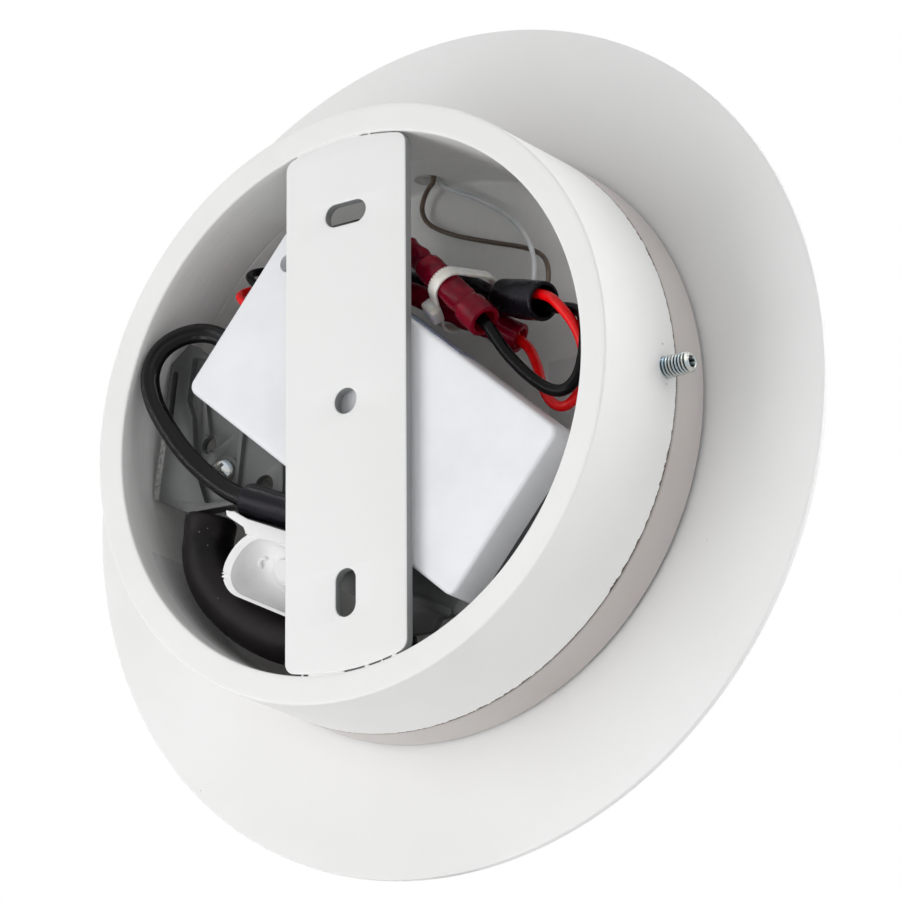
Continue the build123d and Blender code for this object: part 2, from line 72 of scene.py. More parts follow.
def stand(local: Array) -> Array:
    """Turns places in millimetres into the frame's metres: depth runs along -Y and height along Z."""
    local = np.asarray(local, dtype=float)
    return np.stack([local[..., 0], -local[..., 2], local[..., 1]], axis=-1) / PER_METRE


def laid(points: Array, x: float, height: float, slant: float, depth: float = 0.0) -> Array:
    """Turns (along, across, depth) numbers by a slant in degrees about a place, and moves them there."""
    a = math.radians(slant)
    u, v, d = np.moveaxis(np.asarray(points, dtype=float), -1, 0)
    level = x + u * math.cos(a) - v * math.sin(a)
    upright = height + u * math.sin(a) + v * math.cos(a)
    return np.stack([level, upright, depth + d], -1)


def unit(vectors: Array) -> Array:
    """Scales each vector to length one."""
    vectors = np.asarray(vectors, dtype=float)
    return vectors / np.maximum(np.linalg.norm(vectors, axis=-1, keepdims=True), 1e-12)


def rounded(corners: Sequence[Sequence[float]], radii: float | Sequence[float], steps: int = 4) -> Array:
    """Rounds the corners of a closed outline.

    Each corner gives way to the arc that touches both of its sides: the arc's
    centre lies on the bisector, a radius over the sine of half the angle away.

    Args:
        corners: the outline's corners in order.
        radii: one radius, or one for each corner.
        steps: runs in each arc.

    Returns:
        The outline's points in order.
    """
    points = np.asarray(corners, dtype=float)
    radius = np.broadcast_to(np.asarray(radii, dtype=float), (len(points),))[:, None]
    to_last = unit(np.roll(points, 1, axis=0) - points)
    to_next = unit(np.roll(points, -1, axis=0) - points)
    half = np.arccos(np.clip((to_last * to_next).sum(axis=1, keepdims=True), -1, 1)) / 2
    centre = points + unit(to_last + to_next) * radius / np.sin(half)
    first = points + to_last * radius / np.tan(half) - centre
    last = points + to_next * radius / np.tan(half) - centre
    sweep = (math.pi - 2 * half)[:, None]
    t = np.linspace(0, 1, steps + 1)[None, :, None]
    arc = (np.sin((1 - t) * sweep) * first[:, None] + np.sin(t * sweep) * last[:, None]) / np.sin(sweep)
    return (centre[:, None] + arc).reshape(-1, points.shape[1])


def refined(outline: Array, longest: float) -> Array:
    """Puts more points on an outline's long sides, evenly, until none is longer than the given run."""
    runs = []
    for a, b in zip(outline, np.roll(outline, -1, axis=0)):
        count = max(1, math.ceil(np.linalg.norm(b - a) / longest))
        runs.append(a + (b - a) * np.linspace(0, 1, count, endpoint=False)[:, None])
    return np.concatenate(runs)


def shifted(outline: Array, distance: float) -> Array:
    """Moves a closed outline to the left of its direction, along the normal of its neighbours' chord."""
    chord = unit(np.roll(outline, -1, axis=0) - np.roll(outline, 1, axis=0))
    return outline + distance * np.stack([-chord[:, 1], chord[:, 0]], axis=1)


def circle(x: float, y: float, radius: float, steps: int = 48) -> Array:
    """A round outline, anticlockwise."""
    turn = np.linspace(0, 2 * math.pi, steps, endpoint=False)
    return np.stack([x + radius * np.cos(turn), y + radius * np.sin(turn)], axis=1)


def slot_outline(x: float, y: float, length: float, width: float, upright: bool, steps: int = 24) -> Array:
    """A slot's outline: two half circles joined by straight sides."""
    turn = np.linspace(-math.pi / 2, math.pi / 2, steps)
    reach = (length - width) / 2
    end = np.stack([reach + width / 2 * np.cos(turn), width / 2 * np.sin(turn)], axis=1)
    outline = np.concatenate([end, -end])
    if upright:
        outline = np.stack([-outline[:, 1], outline[:, 0]], axis=1)
    return outline + (x, y)


def noise(points: Array, size: float, seed: int = 0) -> Array:
    """A smooth wavy number between about -1 and 1 at each point.

    It is the mean of eight sine waves whose directions and phases come from a
    seeded generator, with wavelengths spread round the given size.

    Args:
        points: places in millimetres, with 3 numbers in the last axis.
        size: the middle wavelength in millimetres.
        seed: the generator's seed.

    Returns:
        One number for each point.
    """
    rng = np.random.default_rng(seed)
    ways = unit(rng.normal(size=(8, 3))) * (2 * math.pi / (size * rng.uniform(0.6, 1.6, (8, 1))))
    phases = rng.uniform(0, 2 * math.pi, 8)
    return np.sin(points @ ways.T + phases).mean(axis=-1) * 1.8


def bump_at(points: Array, spot: Sequence[float], width: float) -> Array:
    """A bell curve of the distance from a spot: 1 there, and a seventh at twice the width."""
    return np.exp(-((points - np.asarray(spot)) ** 2).sum(axis=-1) / (2 * width * width))


@dataclass(frozen=True)
class Axis:
    """A straight middle line between two places, with two directions across it."""

    start: Place
    end: Place

    def run(self) -> float:
        """Its length."""
        return float(np.linalg.norm(np.subtract(self.end, self.start)))

    def ways(self) -> Array:
        """Three unit rows: level across, deep across and along."""
        along = unit(np.subtract(self.end, self.start))
        level = unit(np.array([-along[1], along[0], 0.0])
                     if abs(along[2]) < 0.999 else np.array([1.0, 0.0, 0.0]))
        return np.stack([level, np.cross(along, level), along])

    def place(self, across: Array) -> Array:
        """Turns (level, deep, along) numbers into places."""
        return np.asarray(self.start) + np.asarray(across, dtype=float) @ self.ways()

    def port(self, out: float, level: float = 0.0, deep: float = 0.0) -> Place:
        """A place off the start's face: steps outward, level across and away from the wall."""
        way = -self.ways()[2]
        side = unit(np.array([-way[1], way[0], 0.0]))
        rise = np.cross(way, side)
        return tuple(np.asarray(self.start) + way * out + side * level + rise * deep)


LIGHT_AXIS = Axis((0.0, 0.0, 0.0), (0.0, 0.0, 1.0))


def turned(profile: Array, steps: int, swell: Callable[[Array, Array], Array] | None = None) -> Array:
    """Turns a profile about an axis.

    The point at (along, angle) is radius(along) times the cosine and sine of
    the angle, then along; swell is added to the radius.

    Args:
        profile: rows of (along, radius).
        steps: points in a turn.
        swell: a function of the along and angle arrays.

    Returns:
        A grid of (level, deep, along), one row for each profile point.
    """
    angle = np.linspace(0, 2 * math.pi, steps, endpoint=False)[None, :]
    along = np.broadcast_to(profile[:, :1], (len(profile), steps))
    radius = np.broadcast_to(profile[:, 1:], along.shape)
    if swell is not None:
        radius = radius + swell(along, np.broadcast_to(angle, along.shape)) * (radius > 1e-6)
    return np.stack([radius * np.cos(angle), radius * np.sin(angle), along], axis=-1)


def spline(points: Sequence[Place], resolution: int = 14) -> Array:
    """Reads a lead's middle line from a smooth NURBS curve that has the route's points as control points.

    Args:
        points: the route's places in millimetres.
        resolution: curve points for each control point.

    Returns:
        Places along the curve.
    """
    curve = bpy.data.curves.new("route", "CURVE")
    curve.dimensions = "3D"
    line = curve.splines.new("NURBS")
    line.points.add(len(points) - 1)
    places = np.append(np.asarray(points, dtype=float), np.ones((len(points), 1)), axis=1)
    line.points.foreach_set("co", places.ravel())
    line.order_u = 3
    line.use_endpoint_u = True
    line.resolution_u = resolution
    holder = bpy.data.objects.new("route", curve)
    mesh = bpy.data.meshes.new_from_object(holder)
    places = np.empty(len(mesh.vertices) * 3)
    mesh.vertices.foreach_get("co", places)
    bpy.data.objects.remove(holder)
    bpy.data.curves.remove(curve)
    bpy.data.meshes.remove(mesh)
    places = places.reshape(-1, 3)
    keep = np.append(True, np.linalg.norm(np.diff(places, axis=0), axis=1) > 1e-4)
    return places[keep]


def lengths(path: Array) -> Array:
    """The length run so far at each point of a path."""
    return np.append(0.0, np.linalg.norm(np.diff(path, axis=0), axis=1).cumsum())


def frames(path: Array, upright: Array) -> tuple[Array, Array]:
    """Two directions across a path at each of its points, carried along with the least twist.

    Each step reflects the last pair in the plane between the two points, and
    then in the plane that takes the old direction of travel into the new one.

    Args:
        path: the points of the path.
        upright: about where the second direction points at the start.

    Returns:
        The side directions and the upper directions.
    """
    along = unit(np.gradient(path, axis=0))
    upper = np.empty_like(path)
    upper[0] = unit(upright - along[0] * (upright @ along[0]))
    for i in range(len(path) - 1):
        step = path[i + 1] - path[i]
        c1 = step @ step
        seen = upper[i] - step * (2 / c1) * (step @ upper[i])
        way = along[i] - step * (2 / c1) * (step @ along[i])
        turn = along[i + 1] - way
        c2 = max(turn @ turn, 1e-18)
        upper[i + 1] = seen - turn * (2 / c2) * (turn @ seen)
    return np.cross(upper, along), upper


def carried(path: Array, section: Array, upright: Sequence[float] = (0, 0, 1)) -> Array:
    """Carries a cross-section along a path.

    The point at (station, k) is the station plus the section's two numbers
    times the side and upper directions there.

    Args:
        path: the stations.
        section: (stations, points, 2), or (points, 2) for one that doesn't change.
        upright: about where the section's second number points at the start.

    Returns:
        A grid of places, one row for each station.
    """
    side, upper = frames(path, np.asarray(upright, dtype=float))
    section = np.broadcast_to(section, (len(path),) + section.shape[-2:])
    return path[:, None] + section[..., :1] * side[:, None] + section[..., 1:] * upper[:, None]


def round_section(radius: Array | float, stations: int, steps: int = 24) -> Array:
    """A round cross-section for each station."""
    turn = np.linspace(0, 2 * math.pi, steps, endpoint=False)
    ring = np.stack([np.cos(turn), np.sin(turn)], axis=-1)
    return np.broadcast_to(radius, (stations,))[:, None, None] * ring


# Meshes

class Shell:
    """Gathers surface patches and welds them into one object."""

    def __init__(self, name: str) -> None:
        """Starts an empty shell with the object's name."""
        self.name = name
        self.points: list[Array] = []
        self.corners: list[Array] = []
        self.sides: list[Array] = []
        self.maps: list[Array] = []
        self.count = 0

    def patch(self, grid: Array, wrap_rows: bool = False, wrap_columns: bool = True,
              along: Array | None = None) -> None:
        """Adds a grid of places as quads.

        Args:
            grid: places in millimetres, (rows, columns, 3).
            wrap_rows: joins the last row to the first.
            wrap_columns: joins the last column to the first.
            along: the second map coordinate of each row; without it the rows count from 0 to 1.
        """
        rows, columns = grid.shape[:2]
        index = np.arange(rows * columns).reshape(rows, columns) + self.count
        along = np.linspace(0, 1, rows) if along is None else np.asarray(along, dtype=float)
        if wrap_rows:
            index = np.concatenate([index, index[:1]])
            along = np.append(along, 2 * along[-1] - along[-2])
        if wrap_columns:
            index = np.concatenate([index, index[:, :1]], axis=1)
        across = np.linspace(0, 1, index.shape[1])
        chart = np.stack(np.broadcast_arrays(across[None, :], along[:, None]), axis=-1)
        around = ((slice(None, -1), slice(None, -1)), (slice(1, None), slice(None, -1)),
                  (slice(1, None), slice(1, None)), (slice(None, -1), slice(1, None)))
        self.corners.append(np.stack([index[a, b] for a, b in around], axis=-1).ravel())
        self.maps.append(np.stack([chart[a, b] for a, b in around], axis=-2).reshape(-1, 2))
        self.sides.append(np.full((index.shape[0] - 1) * (index.shape[1] - 1), 4))
        self.points.append(grid.reshape(-1, 3))
        self.count += rows * columns

    def cap(self, loops: Sequence[Array]) -> None:
        """Fills a flat outline, with holes where more than one loop is given, with triangles."""
        points = np.concatenate(loops)
        pairs = [[Vector((p[0], p[1], 0)) for p in self.flat(loop)] for loop in loops]
        triangles = np.asarray(tessellate_polygon(pairs)).ravel()
        self.corners.append(triangles + self.count)
        self.maps.append(self.flat(points)[triangles] / 100.0)
        self.sides.append(np.full(len(triangles) // 3, 3))
        self.points.append(points)
        self.count += len(points)

    @staticmethod
    def flat(loop: Array) -> Array:
        """The two coordinates in which a loop that faces the wall is flat."""
        return loop[:, :2]

    def close(self, smooth: float = 40.0) -> bpy.types.Object:
        """Makes the object, welds its seams and poles and turns its faces outwards.

        Args:
            smooth: the angle in degrees up to which neighbouring faces shade as one.

        Returns:
            The object, at the origin and linked to the scene.
        """
        mesh = bpy.data.meshes.new(self.name)
        places = stand(np.concatenate(self.points))
        corners = np.concatenate(self.corners)
        sides = np.concatenate(self.sides)
        mesh.vertices.add(len(places))
        mesh.vertices.foreach_set("co", places.ravel())
        mesh.loops.add(len(corners))
        mesh.loops.foreach_set("vertex_index", corners)
        mesh.polygons.add(len(sides))
        mesh.polygons.foreach_set("loop_start", np.append(0, sides.cumsum()[:-1]))
        mesh.uv_layers.new(name="UVMap")
        mesh.uv_layers[0].data.foreach_set("uv", np.concatenate(self.maps).ravel())
        mesh.update(calc_edges=True)
        piece = bpy.data.objects.new(self.name, mesh)
        bpy.context.scene.collection.objects.link(piece)
        weld(mesh, smooth)
        return piece


def weld(mesh: bpy.types.Mesh, smooth: float) -> None:
    """Merges a mesh's doubles, turns its faces outwards and shades it smooth up to an angle in degrees."""
    work = bmesh.new()
    work.from_mesh(mesh)
    bmesh.ops.remove_doubles(work, verts=work.verts, dist=DOUBLES)
    bmesh.ops.dissolve_degenerate(work, edges=work.edges, dist=1e-7)
    bmesh.ops.recalc_face_normals(work, faces=work.faces)
    work.to_mesh(mesh)
    work.free()
    mesh.shade_smooth()
    mesh.set_sharp_from_angle(angle=math.radians(smooth))


def settle(piece: bpy.types.Object, smooth: float = 40.0) -> None:
    """Applies a piece's modifiers to its mesh and shades it smooth up to an angle in degrees."""
    bpy.context.view_layer.update()
    graph = bpy.context.evaluated_depsgraph_get()
    mesh = bpy.data.meshes.new_from_object(piece.evaluated_get(graph))
    old = piece.data
    piece.modifiers.clear()
    piece.data = mesh
    bpy.data.meshes.remove(old)
    mesh.name = piece.name
    mesh.shade_smooth()
    mesh.set_sharp_from_angle(angle=math.radians(smooth))


def drilled(piece: bpy.types.Object, axis: Axis, radius: float, steps: int = 48) -> None:
    """Cuts a round hole of the given radius along an axis out of a piece."""
    drill = Shell("drill")
    profile = np.array([[0, 0], [0, radius], [axis.run(), radius], [axis.run(), 0]])
    drill.patch(axis.place(turned(profile, steps)))
    cutter = drill.close()
    cut = piece.modifiers.new("hole", "BOOLEAN")
    cut.operation = "DIFFERENCE"
    cut.solver = "EXACT"
    cut.object = cutter
    settle(piece)
    mesh = cutter.data
    bpy.data.objects.remove(cutter)
    bpy.data.meshes.remove(mesh)


def plate(name: str, outer: Array, holes: Sequence[Array], near: float, far: float,
          edge: float) -> bpy.types.Object:
    """Makes a flat plate with softened edges.

    Every outline is carried through the depth, and near each face it moves
    into the plate by edge times one minus the cosine of a quarter turn.

    Args:
        name: the object's name.
        outer: the outer outline, anticlockwise in (X, height).
        holes: outlines of holes, anticlockwise.
        near: depth of the face towards the wall.
        far: depth of the other face.
        edge: radius of the edges.

    Returns:
        The object.
    """
    shell = Shell(name)
    quarter = np.linspace(0, math.pi / 2, 5)
    inset = edge * (1 - np.sin(quarter))
    levels = np.concatenate([near + edge * (1 - np.cos(quarter)), far - edge * (1 - np.cos(quarter[::-1]))])
    insets = np.concatenate([inset, inset[::-1]])
    caps: tuple[list[Array], list[Array]] = ([], [])
    for number, loop in enumerate([outer, *holes]):
        way = 1.0 if number == 0 else -1.0
        grid = np.stack([np.column_stack([shifted(loop, way * d), np.full(len(loop), z)])
                         for z, d in zip(levels, insets)])
        shell.patch(grid)
        caps[0].append(grid[0])
        caps[1].append(grid[-1])
    shell.cap(caps[0])
    shell.cap(caps[1])
    return shell.close()


def cord_piece(name: str, path: Array, section: Array, upright: Sequence[float] = (0, 0, 1),
               edge: float = 0.25) -> bpy.types.Object:
    """Makes a lead: a cross-section carried along its path, with closed and slightly rounded ends."""
    grid = carried(path, section, upright)
    middle = grid.mean(axis=1, keepdims=True)
    tip = unit(np.stack([path[0] - path[1], path[-1] - path[-2]]))[:, None]
    ends = []
    for row, out in ((0, tip[0]), (-1, tip[1])):
        t = np.array([0.0, 0.55, 0.85, 1.0])[:, None, None]
        ring = middle[row] + (grid[row] - middle[row]) * t - out * edge * t ** 6
        ends.append(ring)
    body = np.concatenate([ends[0], grid[1:-1], ends[1][::-1]])
    shell = Shell(name)
    shell.patch(body, along=lengths(body.mean(axis=1)) / PER_METRE)
    return shell.close(60)


# Materials

def linear(tone: str) -> tuple[float, float, float, float]:
    """Turns an sRGB hex colour such as "#f2f2f0" into linear red, green, blue and alpha."""
    parts = [int(tone[i:i + 2], 16) / 255 for i in (1, 3, 5)]
    return (*[c / 12.92 if c <= 0.04045 else ((c + 0.055) / 1.055) ** 2.4 for c in parts], 1.0)


def add(tree: bpy.types.NodeTree, kind: str, *feeds: Feed, **settings: object) -> bpy.types.Node:
    """Adds a node with its settings and links.

    Args:
        tree: the node tree that gets it
        kind: the node's kind, without the word ShaderNode
        feeds: nodes, outputs or values for its inputs in order, or one table of them by name or number
        settings: the node's own settings

    Returns:
        The node.
    """
    node = tree.nodes.new("ShaderNode" + kind)
    for key, value in settings.items():
        setattr(node, key, value)
    if feeds and isinstance(feeds[0], dict):
        named = feeds[0]
    else:
        named = dict(zip((key for key, socket in enumerate(node.inputs) if socket.enabled), feeds))
    feed(tree, node, named)
    return node


def feed(tree: bpy.types.NodeTree, node: bpy.types.Node, feeds: dict[str | int, Socket]) -> None:
    """Links a node's inputs, by name or number, from nodes or outputs, or sets them to values."""
    for key, value in feeds.items():
        if isinstance(value, bpy.types.Node):
            value = next(out for out in value.outputs if out.enabled)
        if isinstance(value, bpy.types.NodeSocket):
            tree.links.new(value, node.inputs[key])
        else:
            node.inputs[key].default_value = value


@dataclass(frozen=True)
class Finish:
    """A surface: its colour, gloss and how it was made."""

    name: str
    tone: str
    roughness: float
    metallic: float = 0.0
    sockets: tuple[tuple[str, float | tuple[float, ...]], ...] = ()

    def material(self) -> bpy.types.Material:
        """Returns the finish's material, made on first use."""
        made = bpy.data.materials.get(self.name)
        if made is not None:
            return made
        made = bpy.data.materials.new(self.name)
        made.use_nodes = True
        made.diffuse_color = linear(self.tone)
        tree = made.node_tree
        tree.nodes.clear()
        shader = add(tree, "BsdfPrincipled", {"Base Color": linear(self.tone), "Roughness": self.roughness,
                                              "Metallic": self.metallic})
        for socket, value in self.sockets:
            shader.inputs[socket].default_value = value
        add(tree, "OutputMaterial", {"Surface": shader.outputs[0]})
        place = add(tree, "TexCoord").outputs["Object"]
        self.detail(tree, shader, place)
        return made

    def detail(self, tree: bpy.types.NodeTree, shader: bpy.types.Node, place: Socket) -> None:
        """Adds the finish's pattern to the shader; each finish has its own."""

    def dress(self, piece: bpy.types.Object) -> None:
        """Puts the material on a piece or on a CAD node."""
        made = self.material()
        if not piece.data.materials:
            piece.data.materials.append(made)
        for number in range(len(piece.material_slots)):
            piece.material_slots[number].material = made


@dataclass(frozen=True)
class PowderCoat(Finish):
    """Polyester powder coat on steel, sprayed and baked: matt white, with fine orange peel and dust specks.

    Inside the tube and the pan the coat is a little darker, as painted shade, with the turning marks of the
    bore.
    """

    inside_shade: str = "#e6e6e5"
    inside_radius: float = 76.6
    inside_from: float = 1.6
    inside_to: float = 46.0
    chipped_edge: float = 0.0
    speck_share: float = 0.10
    side_shade: str = ""

    def detail(self, tree: bpy.types.NodeTree, shader: bpy.types.Node, place: Socket) -> None:
        """Adds orange peel, specks, painted shade inside and on side faces, and chips along the joint."""
        apart = add(tree, "SeparateXYZ", place)
        flat = add(tree, "CombineXYZ", {"X": apart.outputs["X"], "Y": apart.outputs["Z"]})
        radius = add(tree, "VectorMath", flat, operation="LENGTH").outputs["Value"]
        depth = add(tree, "Math", apart.outputs["Y"], -PER_METRE, operation="MULTIPLY")
        within = add(tree, "MapRange", radius, self.inside_radius / PER_METRE,
                     self.inside_radius / PER_METRE - 0.0003)
        deep = add(tree, "MapRange", depth, self.inside_from, self.inside_from + 2.0)
        shallow = add(tree, "MapRange", depth, self.inside_to, self.inside_to - 0.3)
        inside = add(tree, "Math", add(tree, "Math", within, deep, operation="MULTIPLY"), shallow,
                     operation="MULTIPLY")
        # Turning marks run round the bore, about 0.5 mm apart.
        angle = add(tree, "Math", apart.outputs["X"], apart.outputs["Z"], operation="ARCTAN2")
        ways = add(tree, "CombineXYZ", {"X": add(tree, "Math", angle, 5.0, operation="MULTIPLY"),
                                        "Y": add(tree, "Math", depth, 2.0, operation="MULTIPLY")})
        marks = add(tree, "TexNoise", {"Vector": ways, "Scale": 1.0, "Detail": 4.0, "Roughness": 0.65})
        grain = add(tree, "TexNoise", {"Vector": place, "Scale": 900.0, "Detail": 3.0})
        cloud = add(tree, "TexNoise", {"Vector": place, "Scale": 22.0, "Detail": 3.0})
        # Painted shade: the inside of the tube and the pan is a little darker, with the bore's turning marks
        # in it.
        inside_shade = add(tree, "Mix", add(tree, "MapRange", marks.outputs[0], 0.3, 0.7), linear(self.inside_shade),
                     linear("#f0f0ef"), data_type="RGBA")
        coat = add(tree, "Mix", add(tree, "MapRange", cloud.outputs[0], 0.3, 0.7), linear(self.tone),
                   linear("#efefee"), data_type="RGBA")
        coat = add(tree, "Mix", inside, coat, inside_shade, data_type="RGBA")
        # Dust specks, about a tenth of a millimetre, drawn about half a millimetre across so that they show.
        cells = add(tree, "TexVoronoi", {"Vector": place, "Scale": 95.0, "Randomness": 1.0})
        lone = add(tree, "MapRange", add(tree, "SeparateColor", cells.outputs["Color"]).outputs[0],
                   self.speck_share, self.speck_share - 0.01)
        spot = add(tree, "MapRange", cells.outputs["Distance"], 0.034, 0.016)
        coat = add(tree, "Mix", add(tree, "Math", add(tree, "Math", lone, spot, operation="MULTIPLY"), 0.8,
                                    operation="MULTIPLY"), coat, linear("#6f6a66"), data_type="RGBA")
        if self.chipped_edge:
            off = add(tree, "Math", add(tree, "Math", depth, self.chipped_edge, operation="SUBTRACT"),
                      operation="ABSOLUTE")
            ragged = add(tree, "TexNoise", {"Vector": place, "Scale": 420.0, "Detail": 4.0, "Roughness": 0.7})
            patches = add(tree, "MapRange", add(tree, "TexNoise",
                                                {"Vector": place, "Scale": 30.0}).outputs[0], 0.46, 0.56,
                          0.25, 1.0)
            reach = add(tree, "Math", add(tree, "MapRange", ragged.outputs[0], 0.42, 0.68, 0.0, 1.3), patches,
                        operation="MULTIPLY")
            chip = add(tree, "Math", off, add(tree, "Math", reach, 0.46, operation="ADD"),
                       operation="LESS_THAN")
            coat = add(tree, "Mix", chip, coat, linear("#57483f"), data_type="RGBA")
        # Painted shade: faces whose normals lie across the depth, such as the strap's edges, are darkened.
        if self.side_shade:
            facing = add(tree, "SeparateXYZ", add(tree, "TexCoord").outputs["Normal"]).outputs["Y"]
            side = add(tree, "MapRange", add(tree, "Math", facing, operation="ABSOLUTE"), 0.5, 0.3)
            coat = add(tree, "Mix", side, coat, linear(self.side_shade), data_type="RGBA")
        rough = add(tree, "MapRange", grain.outputs[0], 0.3, 0.7, self.roughness - 0.05,
                    self.roughness + 0.05)
        peel = add(tree, "Bump", {"Height": grain.outputs[0], "Strength": 0.35, "Distance": 0.00003})
        feed(tree, shader, {"Base Color": coat, "Roughness": rough, "Normal": peel})


@dataclass(frozen=True)
class OpalAcrylic(Finish):
    """Extruded opal acrylic: milky and faintly warm, with a soft gloss and a little light carried inside."""

    def detail(self, tree: bpy.types.NodeTree, shader: bpy.types.Node, place: Socket) -> None:
        """Adds cloudy colour and fine extrusion lines round the ring."""
        cloud = add(tree, "TexNoise", {"Vector": place, "Scale": 14.0, "Detail": 2.0})
        tone = add(tree, "Mix", add(tree, "MapRange", cloud.outputs[0], 0.35, 0.65), linear(self.tone),
                   linear("#bdb6b3"), data_type="RGBA")
        lines = add(tree, "TexWave", {"Vector": place, "Scale": 260.0, "Distortion": 0.6, "Detail": 2.0},
                    bands_direction="Y")
        relief = add(tree, "Bump", {"Height": lines.outputs[1], "Strength": 0.08, "Distance": 0.00002})
        feed(tree, shader, {"Base Color": tone, "Normal": relief})


@dataclass(frozen=True)
class Moulded(Finish):
    """Injection-moulded plastic with a spark-eroded grain, clouded by a second tone, with specks of dust."""

    second: str = "#ffffff"
    grain: float = 0.4
    depth: float = 0.00002
    dust: float = 0.0
    dust_tone: str = "#b8b8b8"

    def detail(self, tree: bpy.types.NodeTree, shader: bpy.types.Node, place: Socket) -> None:
        """Adds the grain, the clouded colour and the dust."""
        grain = add(tree, "TexNoise", {"Vector": place, "Scale": PER_METRE / self.grain, "Detail": 3.0})
        cloud = add(tree, "TexNoise", {"Vector": place, "Scale": 60.0, "Detail": 4.0, "Roughness": 0.6})
        tone = add(tree, "Mix", add(tree, "MapRange", cloud.outputs[0], 0.35, 0.68), linear(self.tone),
                   linear(self.second), data_type="RGBA")
        if self.dust:
            cells = add(tree, "TexVoronoi", {"Vector": place, "Scale": 420.0})
            lone = add(tree, "MapRange", add(tree, "SeparateColor", cells.outputs["Color"]).outputs[0],
                       self.dust, self.dust - 0.02)
            spot = add(tree, "Math", lone, add(tree, "MapRange", cells.outputs["Distance"], 0.10, 0.04, 0.0,
                                               0.7), operation="MULTIPLY")
            tone = add(tree, "Mix", spot, tone, linear(self.dust_tone), data_type="RGBA")
        rough = add(tree, "MapRange", cloud.outputs[0], 0.3, 0.7, self.roughness - 0.06,
                    self.roughness + 0.06)
        relief = add(tree, "Bump", {"Height": grain.outputs[0], "Strength": 0.4, "Distance": self.depth})
        feed(tree, shader, {"Base Color": tone, "Roughness": rough, "Normal": relief})


@dataclass(frozen=True)
class TrayWithPaintedHighlight(Moulded):
    """Glass-filled nylon, moulded dark grey, with a painted highlight along one edge."""

    highlight_start: tuple[float, float] = (75.0, -9.6)
    highlight_end: tuple[float, float] = (72.0, 10.2)

    def detail(self, tree: bpy.types.NodeTree, shader: bpy.types.Node, place: Socket) -> None:
        """Adds a painted highlight: a pale strip beside the tray's outer edge."""
        super().detail(tree, shader, place)
        base = shader.inputs["Base Color"].links[0].from_socket
        apart = add(tree, "SeparateXYZ", place)
        way = unit(np.subtract(self.highlight_end, self.highlight_start))
        side = (float(way[1]), float(-way[0]))
        off = add(tree, "Math", add(tree, "Math", apart.outputs["X"], side[0] * PER_METRE,
                                    operation="MULTIPLY"), add(tree, "Math", apart.outputs["Z"],
                                                               side[1] * PER_METRE, operation="MULTIPLY"),
                  operation="ADD")
        edge = self.highlight_start[0] * side[0] + self.highlight_start[1] * side[1]
        highlight_noise = add(tree, "TexNoise", {"Vector": place, "Scale": 700.0, "Detail": 3.0})
        near = add(tree, "MapRange", add(tree, "Math",
                                         add(tree, "Math", off, edge - 0.9, operation="SUBTRACT"),
                                         operation="ABSOLUTE"), 1.3, 0.8)
        low = add(tree, "MapRange", apart.outputs["Z"], 0.0125, 0.0105)
        painted_highlight = add(tree, "Math", add(tree, "Math", near, low, operation="MULTIPLY"),
                  add(tree, "MapRange", highlight_noise.outputs[0], 0.3, 0.55), operation="MULTIPLY")
        # Painted highlight: a pale strip along the tray's outer edge, lower down, broken up by noise.
        tone = add(tree, "Mix", painted_highlight, base, linear("#a8a8a6"), data_type="RGBA")
        feed(tree, shader, {"Base Color": tone})


@dataclass(frozen=True)
class ZincPlate(Finish):
    """Zinc-plated steel, passivated: bright with a faint blue and straw cast and fine scratches."""

    def detail(self, tree: bpy.types.NodeTree, shader: bpy.types.Node, place: Socket) -> None:
        """Adds the cast and the scratches."""
        cast = add(tree, "TexNoise", {"Vector": place, "Scale": 260.0, "Detail": 3.0})
        tone = add(tree, "Mix", add(tree, "MapRange", cast.outputs[0], 0.35, 0.65), linear(self.tone),
                   linear("#c9c7bd"), data_type="RGBA")
        rough = add(tree, "MapRange", cast.outputs[0], 0.3, 0.7, self.roughness - 0.08, self.roughness + 0.1)
        scratch = add(tree, "TexNoise", {"Vector": place, "Scale": 2200.0, "Detail": 2.0})
        relief = add(tree, "Bump", {"Height": scratch.outputs[0], "Strength": 0.25, "Distance": 0.00002})
        feed(tree, shader, {"Base Color": tone, "Roughness": rough, "Normal": relief})


@dataclass(frozen=True)
class ThreadWithPaintedShade(ZincPlate):
    """Zinc-plated thread with painted shade in its roots and in the socket; the crests stay bluish."""

    axis_depth: float = 28.8
    socket_reach: float = 1.6
    root_from: float = 2.3
    root_to: float = 2.74
    bright_tip: float = 91.7

    def detail(self, tree: bpy.types.NodeTree, shader: bpy.types.Node, place: Socket) -> None:
        """Adds the painted shade by its distance from the screw's middle line."""
        super().detail(tree, shader, place)
        base = shader.inputs["Base Color"].links[0].from_socket
        apart = add(tree, "SeparateXYZ", place)
        off = add(tree, "Math", apart.outputs["Y"], self.axis_depth / PER_METRE, operation="ADD")
        across = add(tree, "CombineXYZ", {"X": off, "Y": apart.outputs["Z"]})
        reach = add(tree, "Math", add(tree, "VectorMath", across, operation="LENGTH").outputs["Value"],
                    PER_METRE, operation="MULTIPLY")
        out = add(tree, "Math", add(tree, "Math", apart.outputs["X"], operation="ABSOLUTE"), PER_METRE,
                  operation="MULTIPLY")
        root = add(tree, "Math", add(tree, "MapRange", reach, self.root_to, self.root_to - 0.14),
                   add(tree, "Math", reach, self.root_from, operation="GREATER_THAN"), operation="MULTIPLY")
        root = add(tree, "Math", root, add(tree, "Math", out, self.bright_tip, operation="LESS_THAN"),
                   operation="MULTIPLY")
        shaded_hollows = add(tree, "Math", root, add(tree, "MapRange", reach, self.socket_reach,
                                           self.socket_reach - 0.1), operation="MAXIMUM")
        # Painted shade: the thread's roots and the socket are darkened.
        tone = add(tree, "Mix", shaded_hollows, base, linear("#1d262c"), data_type="RGBA")
        feed(tree, shader, {"Base Color": tone})


